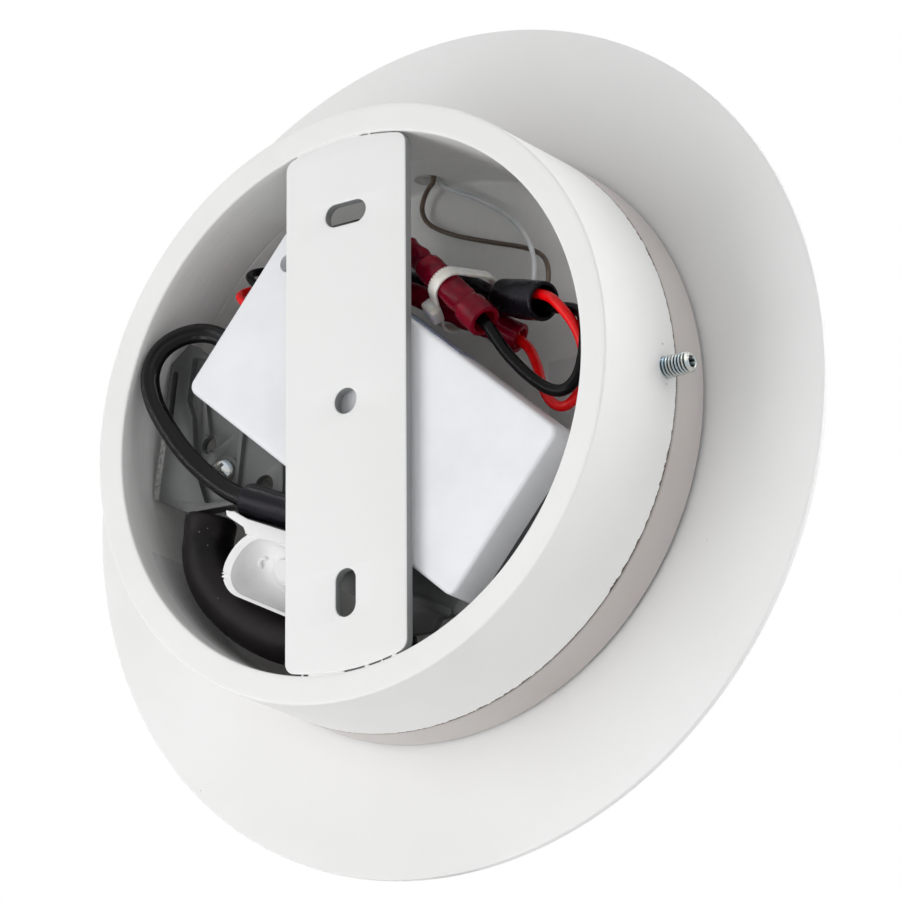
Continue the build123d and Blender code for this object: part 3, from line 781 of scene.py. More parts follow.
@dataclass(frozen=True)
class FoilLaminate(Finish):
    """Blue-silver foil label stock: crinkled flakes, each with its own shine."""

    def detail(self, tree: bpy.types.NodeTree, shader: bpy.types.Node, place: Socket) -> None:
        """Adds flakes of about 0.4 mm."""
        flakes = add(tree, "TexVoronoi", {"Vector": place, "Scale": 2400.0})
        tint = add(tree, "SeparateColor", flakes.outputs["Color"])
        tone = add(tree, "Mix", tint.outputs[0], linear(self.tone), linear("#d5dbe6"), data_type="RGBA")
        rough = add(tree, "MapRange", tint.outputs[1], 0.0, 1.0, 0.25, 0.6)
        relief = add(tree, "Bump", {"Height": tint.outputs[2], "Strength": 0.8, "Distance": 0.00008})
        feed(tree, shader, {"Base Color": tone, "Roughness": rough, "Normal": relief})


@dataclass(frozen=True)
class CrimsonVinyl(Finish):
    """Dip-moulded soft vinyl: deep crimson and glossy, with painted light towards the cut mouth, where light
    comes in.
    """

    mouth: str = "#ae0a22"

    def detail(self, tree: bpy.types.NodeTree, shader: bpy.types.Node, place: Socket) -> None:
        """Adds the painted light at the mouth, read from the map along the piece, and shallow wrinkles."""
        along = add(tree, "SeparateXYZ", add(tree, "TexCoord").outputs["UV"]).outputs["Y"]
        cloud = add(tree, "TexNoise", {"Vector": place, "Scale": 240.0, "Detail": 3.0})
        tone = add(tree, "Mix", add(tree, "MapRange", cloud.outputs[0], 0.35, 0.7), linear(self.tone),
                   linear("#80031f"), data_type="RGBA")
        # Painted light: the colour brightens towards the mouth's end of the piece.
        tone = add(tree, "Mix", add(tree, "MapRange", along, 0.82, 0.95), tone, linear(self.mouth),
                   data_type="RGBA")
        relief = add(tree, "Bump", {"Height": cloud.outputs[0], "Strength": 0.5, "Distance": 0.0002})
        feed(tree, shader, {"Base Color": tone, "Normal": relief})


@dataclass(frozen=True)
class NaturalNylon(Finish):
    """Moulded natural nylon: cloudy, slightly see-through, with the tie's teeth in a row along the band."""

    tooth_pitch: float = 0.9

    def detail(self, tree: bpy.types.NodeTree, shader: bpy.types.Node, place: Socket) -> None:
        """Adds the row of teeth, read from the band's own map, pressed in and darkened as painted shade, and
        a cloudy colour.
        """
        chart = add(tree, "SeparateXYZ", add(tree, "TexCoord").outputs["UV"])
        beat = add(tree, "Math", add(tree, "Math", chart.outputs["Y"], PER_METRE / self.tooth_pitch,
                                     operation="MULTIPLY"), operation="FRACT")
        dash = add(tree, "MapRange", add(tree, "Math", add(tree, "Math", beat, 0.5, operation="SUBTRACT"),
                                         operation="ABSOLUTE"), 0.30, 0.22)
        row = add(tree, "MapRange", add(tree, "Math", add(tree, "Math", chart.outputs["X"], 0.105,
                                                          operation="SUBTRACT"), operation="ABSOLUTE"),
                  0.016, 0.011)
        teeth_and_shade = add(tree, "Math", dash, row, operation="MULTIPLY")
        cloud = add(tree, "TexNoise", {"Vector": place, "Scale": 320.0, "Detail": 2.0})
        tone = add(tree, "Mix", add(tree, "MapRange", cloud.outputs[0], 0.3, 0.7), linear(self.tone),
                   linear("#d8d2ca"), data_type="RGBA")
        # Painted shade: the teeth's slots are darkened; the bump below presses them in.
        tone = add(tree, "Mix", teeth_and_shade, tone, linear("#4a4644"), data_type="RGBA")
        relief = add(tree, "Bump", {"Height": teeth_and_shade, "Strength": 0.6, "Distance": -0.0002})
        feed(tree, shader, {"Base Color": tone, "Normal": relief})


@dataclass(frozen=True)
class Insulation(Finish):
    """Extruded PVC insulation: smooth and glossy, with faint draw lines along the lead."""

    second: str = "#101010"

    def detail(self, tree: bpy.types.NodeTree, shader: bpy.types.Node, place: Socket) -> None:
        """Adds draw lines, read from the map round the lead, and a slight cloud."""
        chart = add(tree, "TexCoord").outputs["UV"]
        drawn = add(tree, "Mapping", {"Vector": chart, "Scale": (14.0, 40.0, 1.0)})
        lines = add(tree, "TexNoise", {"Vector": drawn, "Scale": 1.0, "Detail": 3.0})
        cloud = add(tree, "TexNoise", {"Vector": place, "Scale": 180.0, "Detail": 3.0})
        tone = add(tree, "Mix", add(tree, "MapRange", cloud.outputs[0], 0.35, 0.7), linear(self.tone),
                   linear(self.second), data_type="RGBA")
        relief = add(tree, "Bump", {"Height": lines.outputs[0], "Strength": 0.25, "Distance": 0.00005})
        feed(tree, shader, {"Base Color": tone, "Normal": relief})


@dataclass(frozen=True)
class BareStrands(Finish):
    """Tinned copper strands under clear silicone: the lay of the strands shows as slanting bronze lines."""

    lay: float = 3.0
    strands: float = 7.0

    def detail(self, tree: bpy.types.NodeTree, shader: bpy.types.Node, place: Socket) -> None:
        """Adds seven strands a turn, which wind once in each lay length."""
        chart = add(tree, "SeparateXYZ", add(tree, "TexCoord").outputs["UV"])
        wound = add(tree, "Math", add(tree, "Math", chart.outputs["X"], self.strands, operation="MULTIPLY"),
                    add(tree, "Math", chart.outputs["Y"], PER_METRE * self.strands / self.lay,
                        operation="MULTIPLY"), operation="ADD")
        beat = add(tree, "Math", add(tree, "Math", add(tree, "Math", wound, operation="FRACT"), 0.5,
                                     operation="SUBTRACT"), operation="ABSOLUTE")
        strand = add(tree, "MapRange", beat, 0.5, 0.2)
        tone = add(tree, "Mix", strand, linear("#2c241c"), linear(self.tone), data_type="RGBA")
        relief = add(tree, "Bump", {"Height": strand, "Strength": 0.6, "Distance": 0.0001})
        feed(tree, shader, {"Base Color": tone, "Normal": relief})


@dataclass(frozen=True)
class StripBoard(Finish):
    """White flexible circuit strip with tinned pads between the chips."""

    pads: int = 48

    def detail(self, tree: bpy.types.NodeTree, shader: bpy.types.Node, place: Socket) -> None:
        """Adds a pair of pads at each step round the strip."""
        apart = add(tree, "SeparateXYZ", place)
        angle = add(tree, "Math", apart.outputs["Z"], apart.outputs["X"], operation="ARCTAN2")
        beat = add(tree, "Math", add(tree, "Math", angle, self.pads / (2 * math.pi), operation="MULTIPLY"),
                   operation="FRACT")
        pad = add(tree, "MapRange", add(tree, "Math", add(tree, "Math", beat, 0.5, operation="SUBTRACT"),
                                        operation="ABSOLUTE"), 0.40, 0.42)
        tone = add(tree, "Mix", pad, linear(self.tone), linear("#b9a889"), data_type="RGBA")
        mesh = add(tree, "TexNoise", {"Vector": place, "Scale": 1500.0})
        relief = add(tree, "Bump", {"Height": mesh.outputs[0], "Strength": 0.3, "Distance": 0.00002})
        feed(tree, shader, {"Base Color": tone, "Normal": relief})


COAT = PowderCoat("powder_coated_steel", "#f4f4f3", 0.52)
COAT_RING = PowderCoat("powder_coated_tube", "#f4f4f3", 0.52, chipped_edge=34.2)
COAT_DISC = PowderCoat("powder_coated_disc", "#f3f3f3", 0.55, inside_radius=0.0, speck_share=0.16)
# The strap's side faces carry painted shade.
COAT_STRAP = PowderCoat("powder_coated_strap", "#f1f1f1", 0.5, inside_radius=0.0, speck_share=0.06,
                        side_shade="#8f9192")
OPAL = OpalAcrylic("opal_acrylic_extruded", "#cac4c1", 0.3,
                   sockets=(("Subsurface Weight", 0.12), ("Subsurface Scale", 0.002)))
CASE = Moulded("abs_moulded_white", "#f0f1f4", 0.36, second="#eaebee", grain=0.5)
TRAY = TrayWithPaintedHighlight("glass_filled_nylon_grey", "#525353", 0.4, second="#606161", grain=0.6, depth=0.00004)
ZINC = ZincPlate("zinc_plated_steel", "#b9c4cc", 0.26, metallic=1.0)
THREAD = ThreadWithPaintedShade("zinc_plated_thread", "#a9bcc8", 0.24, metallic=1.0)
FOIL = FoilLaminate("foil_laminate_blue", "#7f95bb", 0.4, metallic=0.35)
SHRINK = Moulded("polyolefin_shrink_black", "#060508", 0.26, second="#0e0d12", grain=1.0, depth=0.00016,
                 dust=0.05, sockets=(("Specular IOR Level", 0.2), ("Specular Tint", (0.9, 0.86, 1.0, 1.0))))
HOSE = Moulded("silicone_hose_black", "#080607", 0.46, second="#1f1a1b", grain=0.8, depth=0.00004, dust=0.35,
               dust_tone="#8f8a86", sockets=(("Specular IOR Level", 0.16),))
MILKY = Moulded("polypropylene_milky", "#f1f1f1", 0.36, second="#e6e6e6", grain=0.7, depth=0.00003)
VINYL = CrimsonVinyl("vinyl_dipped_crimson", "#5e0018", 0.16, sockets=(("Specular IOR Level", 0.13),))
NYLON = NaturalNylon("nylon_moulded_natural", "#f1f0ee", 0.34,
                     sockets=(("Subsurface Weight", 0.4), ("Subsurface Scale", 0.0015)))
PVC_BLACK = Insulation("pvc_extruded_black", "#040405", 0.22, second="#080809",
                       sockets=(("Specular IOR Level", 0.1),))
# The mains lead's sheath looks a little glossier than the single cores, with a narrower highlight.
PVC_SHEATH = Insulation("pvc_sheath_black", "#050406", 0.18, second="#09080b",
                        sockets=(("Specular IOR Level", 0.2),))
PVC_RED = Insulation("pvc_extruded_red", "#ee0a10", 0.26, second="#d9060c",
                     sockets=(("Specular IOR Level", 0.25),))
PVC_WHITE = Insulation("pvc_extruded_white", "#dfe2e4", 0.35, second="#cfd3d6",
                       sockets=(("Subsurface Weight", 0.3), ("Subsurface Scale", 0.001)))
STRANDS = BareStrands("strands_in_clear_silicone", "#766353", 0.35, metallic=0.6,
                      sockets=(("Coat Weight", 0.8), ("Coat Roughness", 0.12)))
FOAM = Moulded("foam_sealing_black", "#1b1b1d", 0.9, second="#262628", grain=0.35, depth=0.0002)
BOARD = StripBoard("flexible_circuit_white", "#eeeee8", 0.4)
PHOSPHOR = Moulded("phosphor_silicone_yellow", "#f0c63c", 0.3, second="#f4e6b0", grain=0.5)
FILM = Moulded("polyester_film_clear", "#dfe2e4", 0.18, second="#d6d9db", grain=1.5, depth=0.00005,
               sockets=(("Alpha", 0.08),))


def show(piece: bpy.types.Object, body: Body, finish: Finish, slot: str, *nodes: str) -> bpy.types.Object:
    """Finishes a piece: its material, the body it rides on and its CAD nodes.

    Args:
        piece: the object.
        body: the body it moves with.
        finish: its surface.
        slot: the record's material slot; not used.
        nodes: the CAD nodes that it replaces.

    Returns:
        The piece.
    """
    finish.dress(piece)
    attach(piece, body.value)
    if nodes:
        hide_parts(*nodes)
    log.info("%s: %d faces, rides on %s, stands for %s", piece.name, len(piece.data.polygons), body.value,
             ", ".join(nodes) or "no node")
    return piece


def keep(node: str, finish: Finish) -> None:
    """Gives a CAD node that stays its material."""
    finish.dress(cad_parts[node])
    log.info("%s: CAD node kept, dressed in %s", node, finish.name)


# Housing

@dataclass
class Housing:
    """The tube ring with the strap across it."""

    outer: float = 84.0
    bore: float = 76.0
    length: float = 34.2
    shoulder: float = 24.2
    counterbore: float = 78.5
    rim: float = 0.6
    grub_depth: float = 28.8
    grub_hole: float = 3.1
    strap_width: float = 40.0
    strap_thickness: float = 3.0
    strap_reach: float = 75.65
    strap_corner: float = 3.5
    strap_edge: float = 0.45
    centre_hole: float = 3.6
    slot_offset: float = 54.0
    slot_length: float = 13.4
    slot_width: float = 6.5
    dents: tuple[tuple[float, float, float, float], ...] = (
        (21.8, 74.6, 1.0, 0.45), (-20.6, 80.5, 0.35, 0.16), (-20.8, 78.0, 0.35, 0.12))
    bridges: tuple[tuple[float, float, float], ...] = (
        (-5.2, 16.6, 1), (-8.4, -7.2, 1), (0.4, 12.6, -1), (13.9, 14.8, -1), (-7.7, -5.9, -1),
        (-12.0, -11.2, -1), (-16.6, -14.6, -1))

    def ring(self) -> bpy.types.Object:
        """Turns the ring's rounded profile about the light's axis, presses in small dents and drills it."""
        corners = [(0, self.bore), (0, self.outer), (self.length, self.outer),
                   (self.length, self.counterbore), (self.shoulder, self.counterbore),
                   (self.shoulder, self.bore)]
        profile = refined(rounded(corners, [self.rim, self.rim, 0.25, 0.2, 0.05, 0.2]), 1.6)
        grid = turned(profile, RING_STEPS)
        for x, height, width, deep in self.dents:
            grid[..., 2] += deep * bump_at(grid, (x, height, 0.0), width) * (grid[..., 2] < 3)
        shell = Shell("housing_tube")
        shell.patch(grid, wrap_rows=True)
        piece = shell.close()
        reach = self.outer + 2
        drilled(piece, Axis((-reach, 0, self.grub_depth), (reach, 0, self.grub_depth)), self.grub_hole)
        return piece

    def strap(self) -> bpy.types.Object:
        """Cuts the strap's plate: straight sides, ends on the bore's curve, one hole and two slots."""
        holes = [circle(0, 0, self.centre_hole),
                 slot_outline(0, self.slot_offset, self.slot_length, self.slot_width, False),
                 slot_outline(0, -self.slot_offset, self.slot_length, self.slot_width, True)]
        return plate("strap_plate", self.strap_outline(), holes, 0.0, self.strap_thickness, self.strap_edge)

    def strap_outline(self) -> Array:
        """The strap's outline: each corner's arc touches the straight side and the bowed end from inside."""
        r = self.strap_corner
        x = self.strap_width / 2 - r
        y = math.sqrt((self.strap_reach - r) ** 2 - x * x)
        lean = math.atan2(y, x)
        corner = np.linspace(0, lean, 9)
        arc = np.stack([x + r * np.cos(corner), y + r * np.sin(corner)], axis=1)
        bow = np.linspace(lean, math.pi - lean, 40)[1:-1]
        end = self.strap_reach * np.stack([np.cos(bow), np.sin(bow)], axis=1)
        top = np.concatenate([arc, end, arc[::-1] * (-1, 1)])
        return refined(np.concatenate([top, -top]), 4.0)

    def bridge(self, start: float, end: float, side: int, number: int) -> bpy.types.Object:
        """Fills a stretch of the gap between the strap's end and the bore with paint.

        A shallow lens-shaped section runs along the bore's curve, and its
        width and depth fade in a ragged way at both ends.

        Args:
            start: X at the stretch's first end.
            end: X at its other end.
            side: 1 at the top, -1 at the bottom.
            number: counts the stretches, and seeds the ragged edge.

        Returns:
            The object.
        """
        steps = max(8, int(abs(end - start) * 3))
        x = np.linspace(start, end, steps)
        t = np.linspace(0, 1, steps)
        fade = np.clip(np.minimum(t, 1 - t) * abs(end - start) / 0.7, 0.02, 1) ** 0.5
        radius = (self.strap_reach + self.bore) / 2 + 0.12
        path = np.stack([x, side * np.sqrt(radius ** 2 - x ** 2), np.full(steps, 0.62)], axis=1)
        wobble = 1 + 0.12 * noise(path, 1.2, number)
        turn = np.linspace(0, 2 * math.pi, 16, endpoint=False)
        wide = (0.68 * fade * wobble)[:, None] * np.cos(turn)
        tall = (0.50 * fade)[:, None] * np.sin(turn)
        grid = path[:, None] + np.stack([0 * wide, side * wide, tall], axis=-1)
        shell = Shell(f"paint_bridge_{number}")
        shell.patch(np.concatenate([path[:1, None].repeat(16, 1), grid, path[-1:, None].repeat(16, 1)]))
        return shell.close(80)

    def build(self) -> None:
        """Builds the housing's pieces and dresses its CAD nodes."""
        show(self.ring(), Body.HOUSING, COAT_RING, "white_powder_coat", "housing_ring")
        show(self.strap(), Body.HOUSING, COAT_STRAP, "white_powder_coat", "mounting_strap")
        for number, (start, end, side) in enumerate(self.bridges, 1):
            show(self.bridge(start, end, int(side), number), Body.HOUSING, COAT_STRAP, "white_powder_coat")
        keep("strap_welds", COAT)
        keep("wall_film", FILM)


# Grub screws

class Side(Enum):
    """Which side of the light a screw is on, as the sign of X at its outer end."""

    RIGHT = -1
    LEFT = 1


@dataclass
class GrubScrew:
    """An M6 grub screw with a hexagon socket in its outer end."""

    side: Side
    radius: float = 3.0
    pitch: float = 1.0
    thread: float = 0.58
    length: float = 12.0
    depth: float = 28.8
    tip: float = 92.4
    socket: float = 3.0
    socket_depth: float = 3.5

    def build(self) -> bpy.types.Object:
        """Winds the thread and sinks the socket.

        The thread's radius at (along, angle) is the crest less the tooth's
        depth times a rounded triangle of along over pitch minus angle over a
        turn. Chamfers limit it at both ends.

        Returns:
            The object.
        """
        steps = 72
        along = np.linspace(0, self.length, 241)[:, None]
        angle = np.linspace(0, 2 * math.pi, steps, endpoint=False)[None, :]
        beat = np.abs(((along / self.pitch - angle / (2 * math.pi)) % 1.0) - 0.5) * 2
        radius = self.radius - self.thread * (1 - np.clip(1.25 * beat, 0, 1) ** 1.2)
        near = np.minimum(along, self.length - along)
        radius = np.minimum(radius, self.radius - self.thread - 0.05 + near * 0.95)
        thread = np.stack([radius * np.cos(angle), radius * np.sin(angle),
                           np.broadcast_to(along, radius.shape)], axis=-1)
        sector = (angle[0] + math.pi / 6) % (math.pi / 3) - math.pi / 6
        hexagon = self.socket / 2 / np.cos(sector)

        def ring(reach: Array, deep: float) -> Array:
            """One row of the grid: a loop at the given distances from the middle line."""
            x, y = reach * np.cos(angle[0]), reach * np.sin(angle[0])
            return np.stack([x, y, np.full(steps, deep)], -1)[None]

        socket = np.concatenate([ring(np.zeros(steps), self.socket_depth + 0.6),
                                 ring(hexagon, self.socket_depth), ring(hexagon, 0.25),
                                 ring(hexagon + 0.2, 0.0), thread[:1]])
        point = np.concatenate([thread[-1:], ring(radius[-1] * 0.55, self.length),
                                ring(np.zeros(steps), self.length)])
        axis = Axis((self.side.value * self.tip, 0, self.depth), (0, 0, self.depth))
        shell = Shell("grub_thread_" + self.side.name.lower())
        shell.patch(axis.place(np.concatenate([socket, thread[1:], point[1:]])))
        body = Body.GRUB_RIGHT if self.side is Side.RIGHT else Body.GRUB_LEFT
        return show(shell.close(55), body, THREAD, "zinc_steel", "grub_screw_" + self.side.name.lower())


# Front

@dataclass
class Front:
    """The pan, the disc, the opal ring and the seal between them."""

    bore: float = 76.0
    pan_outer: float = 78.2
    shoulder: float = 24.2
    floor: float = 45.5
    disc_back: float = 48.5
    disc_front: float = 50.5
    disc_radius: float = 121.0
    disc_edge: float = 0.3
    opal_outer: float = 84.0
    opal_inner: float = 81.0
    opal_start: float = 34.5
    opal_end: float = 47.2
    opal_chamfer: float = 0.4
    seal_outer: float = 83.2
    seal_inner: float = 79.2
    locking_hole: float = 3.4
    locking_depth: float = 28.8
    lead_hole: float = 4.0
    lead_x: float = -0.3
    lead_depth: float = 39.0

    def pan(self) -> bpy.types.Object:
        """Turns the cup and drills its locking holes and the lead's hole."""
        corners = [(self.disc_back, 0.0), (self.disc_back, self.pan_outer), (self.shoulder, self.pan_outer),
                   (self.shoulder, self.bore), (self.floor, self.bore), (self.floor, 0.0)]
        bends = rounded(corners, [0.001, 0.2, 0.2, 0.2, 1.2, 0.001])
        inner = np.linspace(1, 0, 20)[:, None]
        start = len(bends) - 5
        profile = np.concatenate([bends[5:start], [[self.floor, 0]]
                                  + inner * (bends[start - 1] - [self.floor, 0])])
        profile = np.concatenate([[[self.disc_back, 0.0]], profile])
        grid = turned(profile, 240)
        shell = Shell("pan_cup")
        shell.patch(grid)
        piece = shell.close()
        reach = self.pan_outer + 2
        drilled(piece, Axis((-reach, 0, self.locking_depth), (reach, 0, self.locking_depth)),
                self.locking_hole)
        drilled(piece, Axis((self.lead_x, self.bore - 6, self.lead_depth),
                            (self.lead_x, reach, self.lead_depth)), self.lead_hole)
        return piece

    def disc(self) -> bpy.types.Object:
        """Turns the disc, with its edges softened."""
        rim = rounded([(self.disc_back, 0), (self.disc_back, self.disc_radius),
                       (self.disc_front, self.disc_radius), (self.disc_front, 0)],
                      [0.001, self.disc_edge, self.disc_edge, 0.001])[5:15]
        back = np.stack([np.full(24, self.disc_back), np.linspace(0, rim[0, 1], 24)], axis=1)[:-1]
        front = np.stack([np.full(24, self.disc_front), np.linspace(rim[-1, 1], 0, 24)], axis=1)[1:]
        shell = Shell("disc_plate")
        shell.patch(turned(np.concatenate([back, rim, front]), RING_STEPS))
        return shell.close()

    def opal(self) -> bpy.types.Object:
        """Turns the opal ring with its chamfered rear edge."""
        c = self.opal_chamfer
        corners = [(self.opal_start, self.opal_inner), (self.opal_start, self.opal_outer - c),
                   (self.opal_start + c, self.opal_outer), (self.opal_end, self.opal_outer),
                   (self.opal_end, self.opal_inner)]
        shell = Shell("diffuser_ring")
        shell.patch(turned(refined(rounded(corners, 0.12), 1.5), RING_STEPS), wrap_rows=True)
        return shell.close()

    def seal(self) -> bpy.types.Object:
        """Turns the foam seal, with soft edges and a slightly wavy outer face."""
        corners = [(self.opal_end, self.seal_inner), (self.opal_end, self.seal_outer),
                   (self.disc_back, self.seal_outer), (self.disc_back, self.seal_inner)]
        grid = turned(rounded(corners, 0.3), 240, lambda along, angle: 0.05 * np.sin(37 * angle)
                      * np.sin(11 * angle))
        shell = Shell("foam_seal")
        shell.patch(grid, wrap_rows=True)
        return shell.close()

    def build(self) -> None:
        """Builds the front's pieces and dresses its CAD nodes."""
        show(self.pan(), Body.FRONT, COAT, "white_powder_coat", "base_pan")
        show(self.disc(), Body.FRONT, COAT_DISC, "white_powder_coat", "front_disc")
        show(self.opal(), Body.FRONT, OPAL, "opal_acrylic", "opal_ring")
        show(self.seal(), Body.FRONT, FOAM, "black_foam", "seal_ring")
        keep("light_strip", BOARD)
        keep("light_chips", PHOSPHOR)
        keep("floor_film", FILM)


# Driver and tray

@dataclass
class Driver:
    """The driver's white case on its grey tray."""

    length: float = 117.0
    width: float = 53.0
    back: float = 4.2
    face: float = 15.2
    slant: float = 41.07
    x: float = -4.5
    height: float = -1.9
    corner: float = 3.0
    edge: float = 1.2
    sink: float = 0.12
    hole_u: float = 51.6
    hole_v: float = 18.2
    hole: float = 2.6
    hole_depth: float = 8.0
    screws: tuple[tuple[float, float], ...] = ((51.5, -6.3), (0.5, -40.5), (10.2, 51.8))
    seat: float = 14.0
    head: float = 4.0
    head_height: float = 2.6
    shank: float = 2.0
    shank_length: float = 9.0
    cross: float = 1.0
    cross_depth: float = 1.1
    tray_softening: float = 0.0003

    def lay(self, points: Array) -> Array:
        """Turns (along, across, depth) on the case into places."""
        return laid(points, self.x, self.height, self.slant)

    def case(self) -> bpy.types.Object:
        """Carries the case's rounded outline through its depth.

        The outline draws in by one minus the cosine of a quarter turn towards
        the big face, which sinks very slightly in its middle, as mouldings do.
        """
        quarter = np.linspace(0, math.pi / 2, 7)
        levels = [(self.face, 0.0), (self.face, 0.0001), (self.back + self.edge, 0.0)]
        levels += [(self.back + self.edge * (1 - math.sin(q)), self.edge * (1 - math.cos(q)))
                   for q in quarter[1:]]
        rows = []
        for depth, inset in levels:
            half_u, half_v = self.length / 2 - inset, self.width / 2 - inset
            ring = rounded([(half_u, -half_v), (half_u, half_v), (-half_u, half_v), (-half_u, -half_v)],
                           max(self.corner - inset, 0.4), 8)
            ring = split_sides(ring)
            rows.append(np.column_stack([ring, np.full(len(ring), depth)]))
        face = rows[-1]
        for t in np.linspace(1, 0, 14)[1:]:
            row = face.copy()
            row[:, :2] *= t
            row[:, 2] += self.sink * (1 - t ** 2)
            rows.append(row)
        far = rows[0].copy()
        far[:, :2] = 0
        shell = Shell("driver_case")
        shell.patch(self.lay(np.stack([far] + rows)))
        piece = shell.close()
        ends = self.lay(np.array([[self.hole_u, self.hole_v, self.back - 1],
                                  [self.hole_u, self.hole_v, self.back + self.hole_depth]]))
        drilled(piece, Axis(tuple(ends[0]), tuple(ends[1])), self.hole)
        return piece

    def tray(self) -> bpy.types.Object:
        """Recasts the tray from its CAD node, with softened edges."""
        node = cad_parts["driver_tray"]
        mesh = node.data.copy()
        mesh.name = "tray_moulding"
        piece = bpy.data.objects.new("tray_moulding", mesh)
        bpy.context.scene.collection.objects.link(piece)
        mesh.materials.clear()
        work = bmesh.new()
        work.from_mesh(mesh)
        bmesh.ops.remove_doubles(work, verts=work.verts, dist=DOUBLES)
        bmesh.ops.dissolve_limit(work, angle_limit=math.radians(1.0), verts=work.verts, edges=work.edges)
        work.to_mesh(mesh)
        work.free()
        soften = piece.modifiers.new("edges", "BEVEL")
        soften.width = self.tray_softening
        soften.segments = 2
        soften.limit_method = "ANGLE"
        soften.angle_limit = math.radians(35)
        settle(piece, 35)
        return piece

    def screw(self, x: float, height: float, number: int) -> bpy.types.Object:
        """Makes one cross-recessed pan-head screw.

        The head's height at a distance r from its middle is a flattened dome,
        and the cross is pressed in where either of two turned coordinates is
        small, with its depth fading towards the arms' ends.

        Args:
            x: X of the screw.
            height: its height.
            number: counts the screws.

        Returns:
            The object.
        """
        steps = 96
        reach = np.concatenate([np.linspace(0, self.head * 0.8, 40),
                                np.linspace(self.head * 0.8, self.head, 12)[1:]])[:, None]
        angle = np.linspace(0, 2 * math.pi, steps, endpoint=False)[None, :]
        dome = self.head_height * (1 - (reach / self.head) ** 3.2) ** 0.55
        turn = angle + math.radians(20 + 31 * number)
        arms = np.minimum(np.abs(reach * np.cos(turn)), np.abs(reach * np.sin(turn)))
        middle = np.clip((self.head * 0.58 - reach) / 0.7, 0, 1)
        press = np.clip((self.cross / 2 + 0.12 - arms) / 0.24, 0, 1) * middle
        deep = self.seat - dome + press * self.cross_depth
        grid = np.stack(np.broadcast_arrays(reach * np.cos(angle), reach * np.sin(angle), deep), axis=-1)
        under = turned(np.array([[self.seat, self.shank], [self.seat + self.shank_length, self.shank],
                                 [self.seat + self.shank_length, 0.0]]), steps)
        shell = Shell(f"tray_screw_{number}")
        shell.patch(np.concatenate([grid, under]) + (x, height, 0))
        return shell.close(35)

    def build(self) -> None:
        """Builds the driver's pieces and dresses its CAD nodes."""
        show(self.case(), Body.FRONT, CASE, "white_plastic", "driver_cover")
        show(self.tray(), Body.FRONT, TRAY, "dark_grey_plastic", "driver_tray")
        heads = [self.screw(x, height, number) for number, (x, height) in enumerate(self.screws, 1)]
        for piece in heads:
            show(piece, Body.FRONT, ZINC, "zinc_steel", "tray_screws")
        keep("tray_standoffs", ZINC)
        keep("foil_strip", FOIL)


def split_sides(outline: Array, long_side: float = 10.0, runs: int = 24) -> Array:
    """Splits the long sides of a rounded box's outline, each into the same number of runs."""
    following = np.roll(outline, -1, axis=0)
    pieces = []
    for a, b in zip(outline, following):
        count = runs if np.linalg.norm(b - a) > long_side else 1
        pieces.append(a + (b - a) * np.linspace(0, 1, count, endpoint=False)[:, None])
    return np.concatenate(pieces)


# Terminal cover

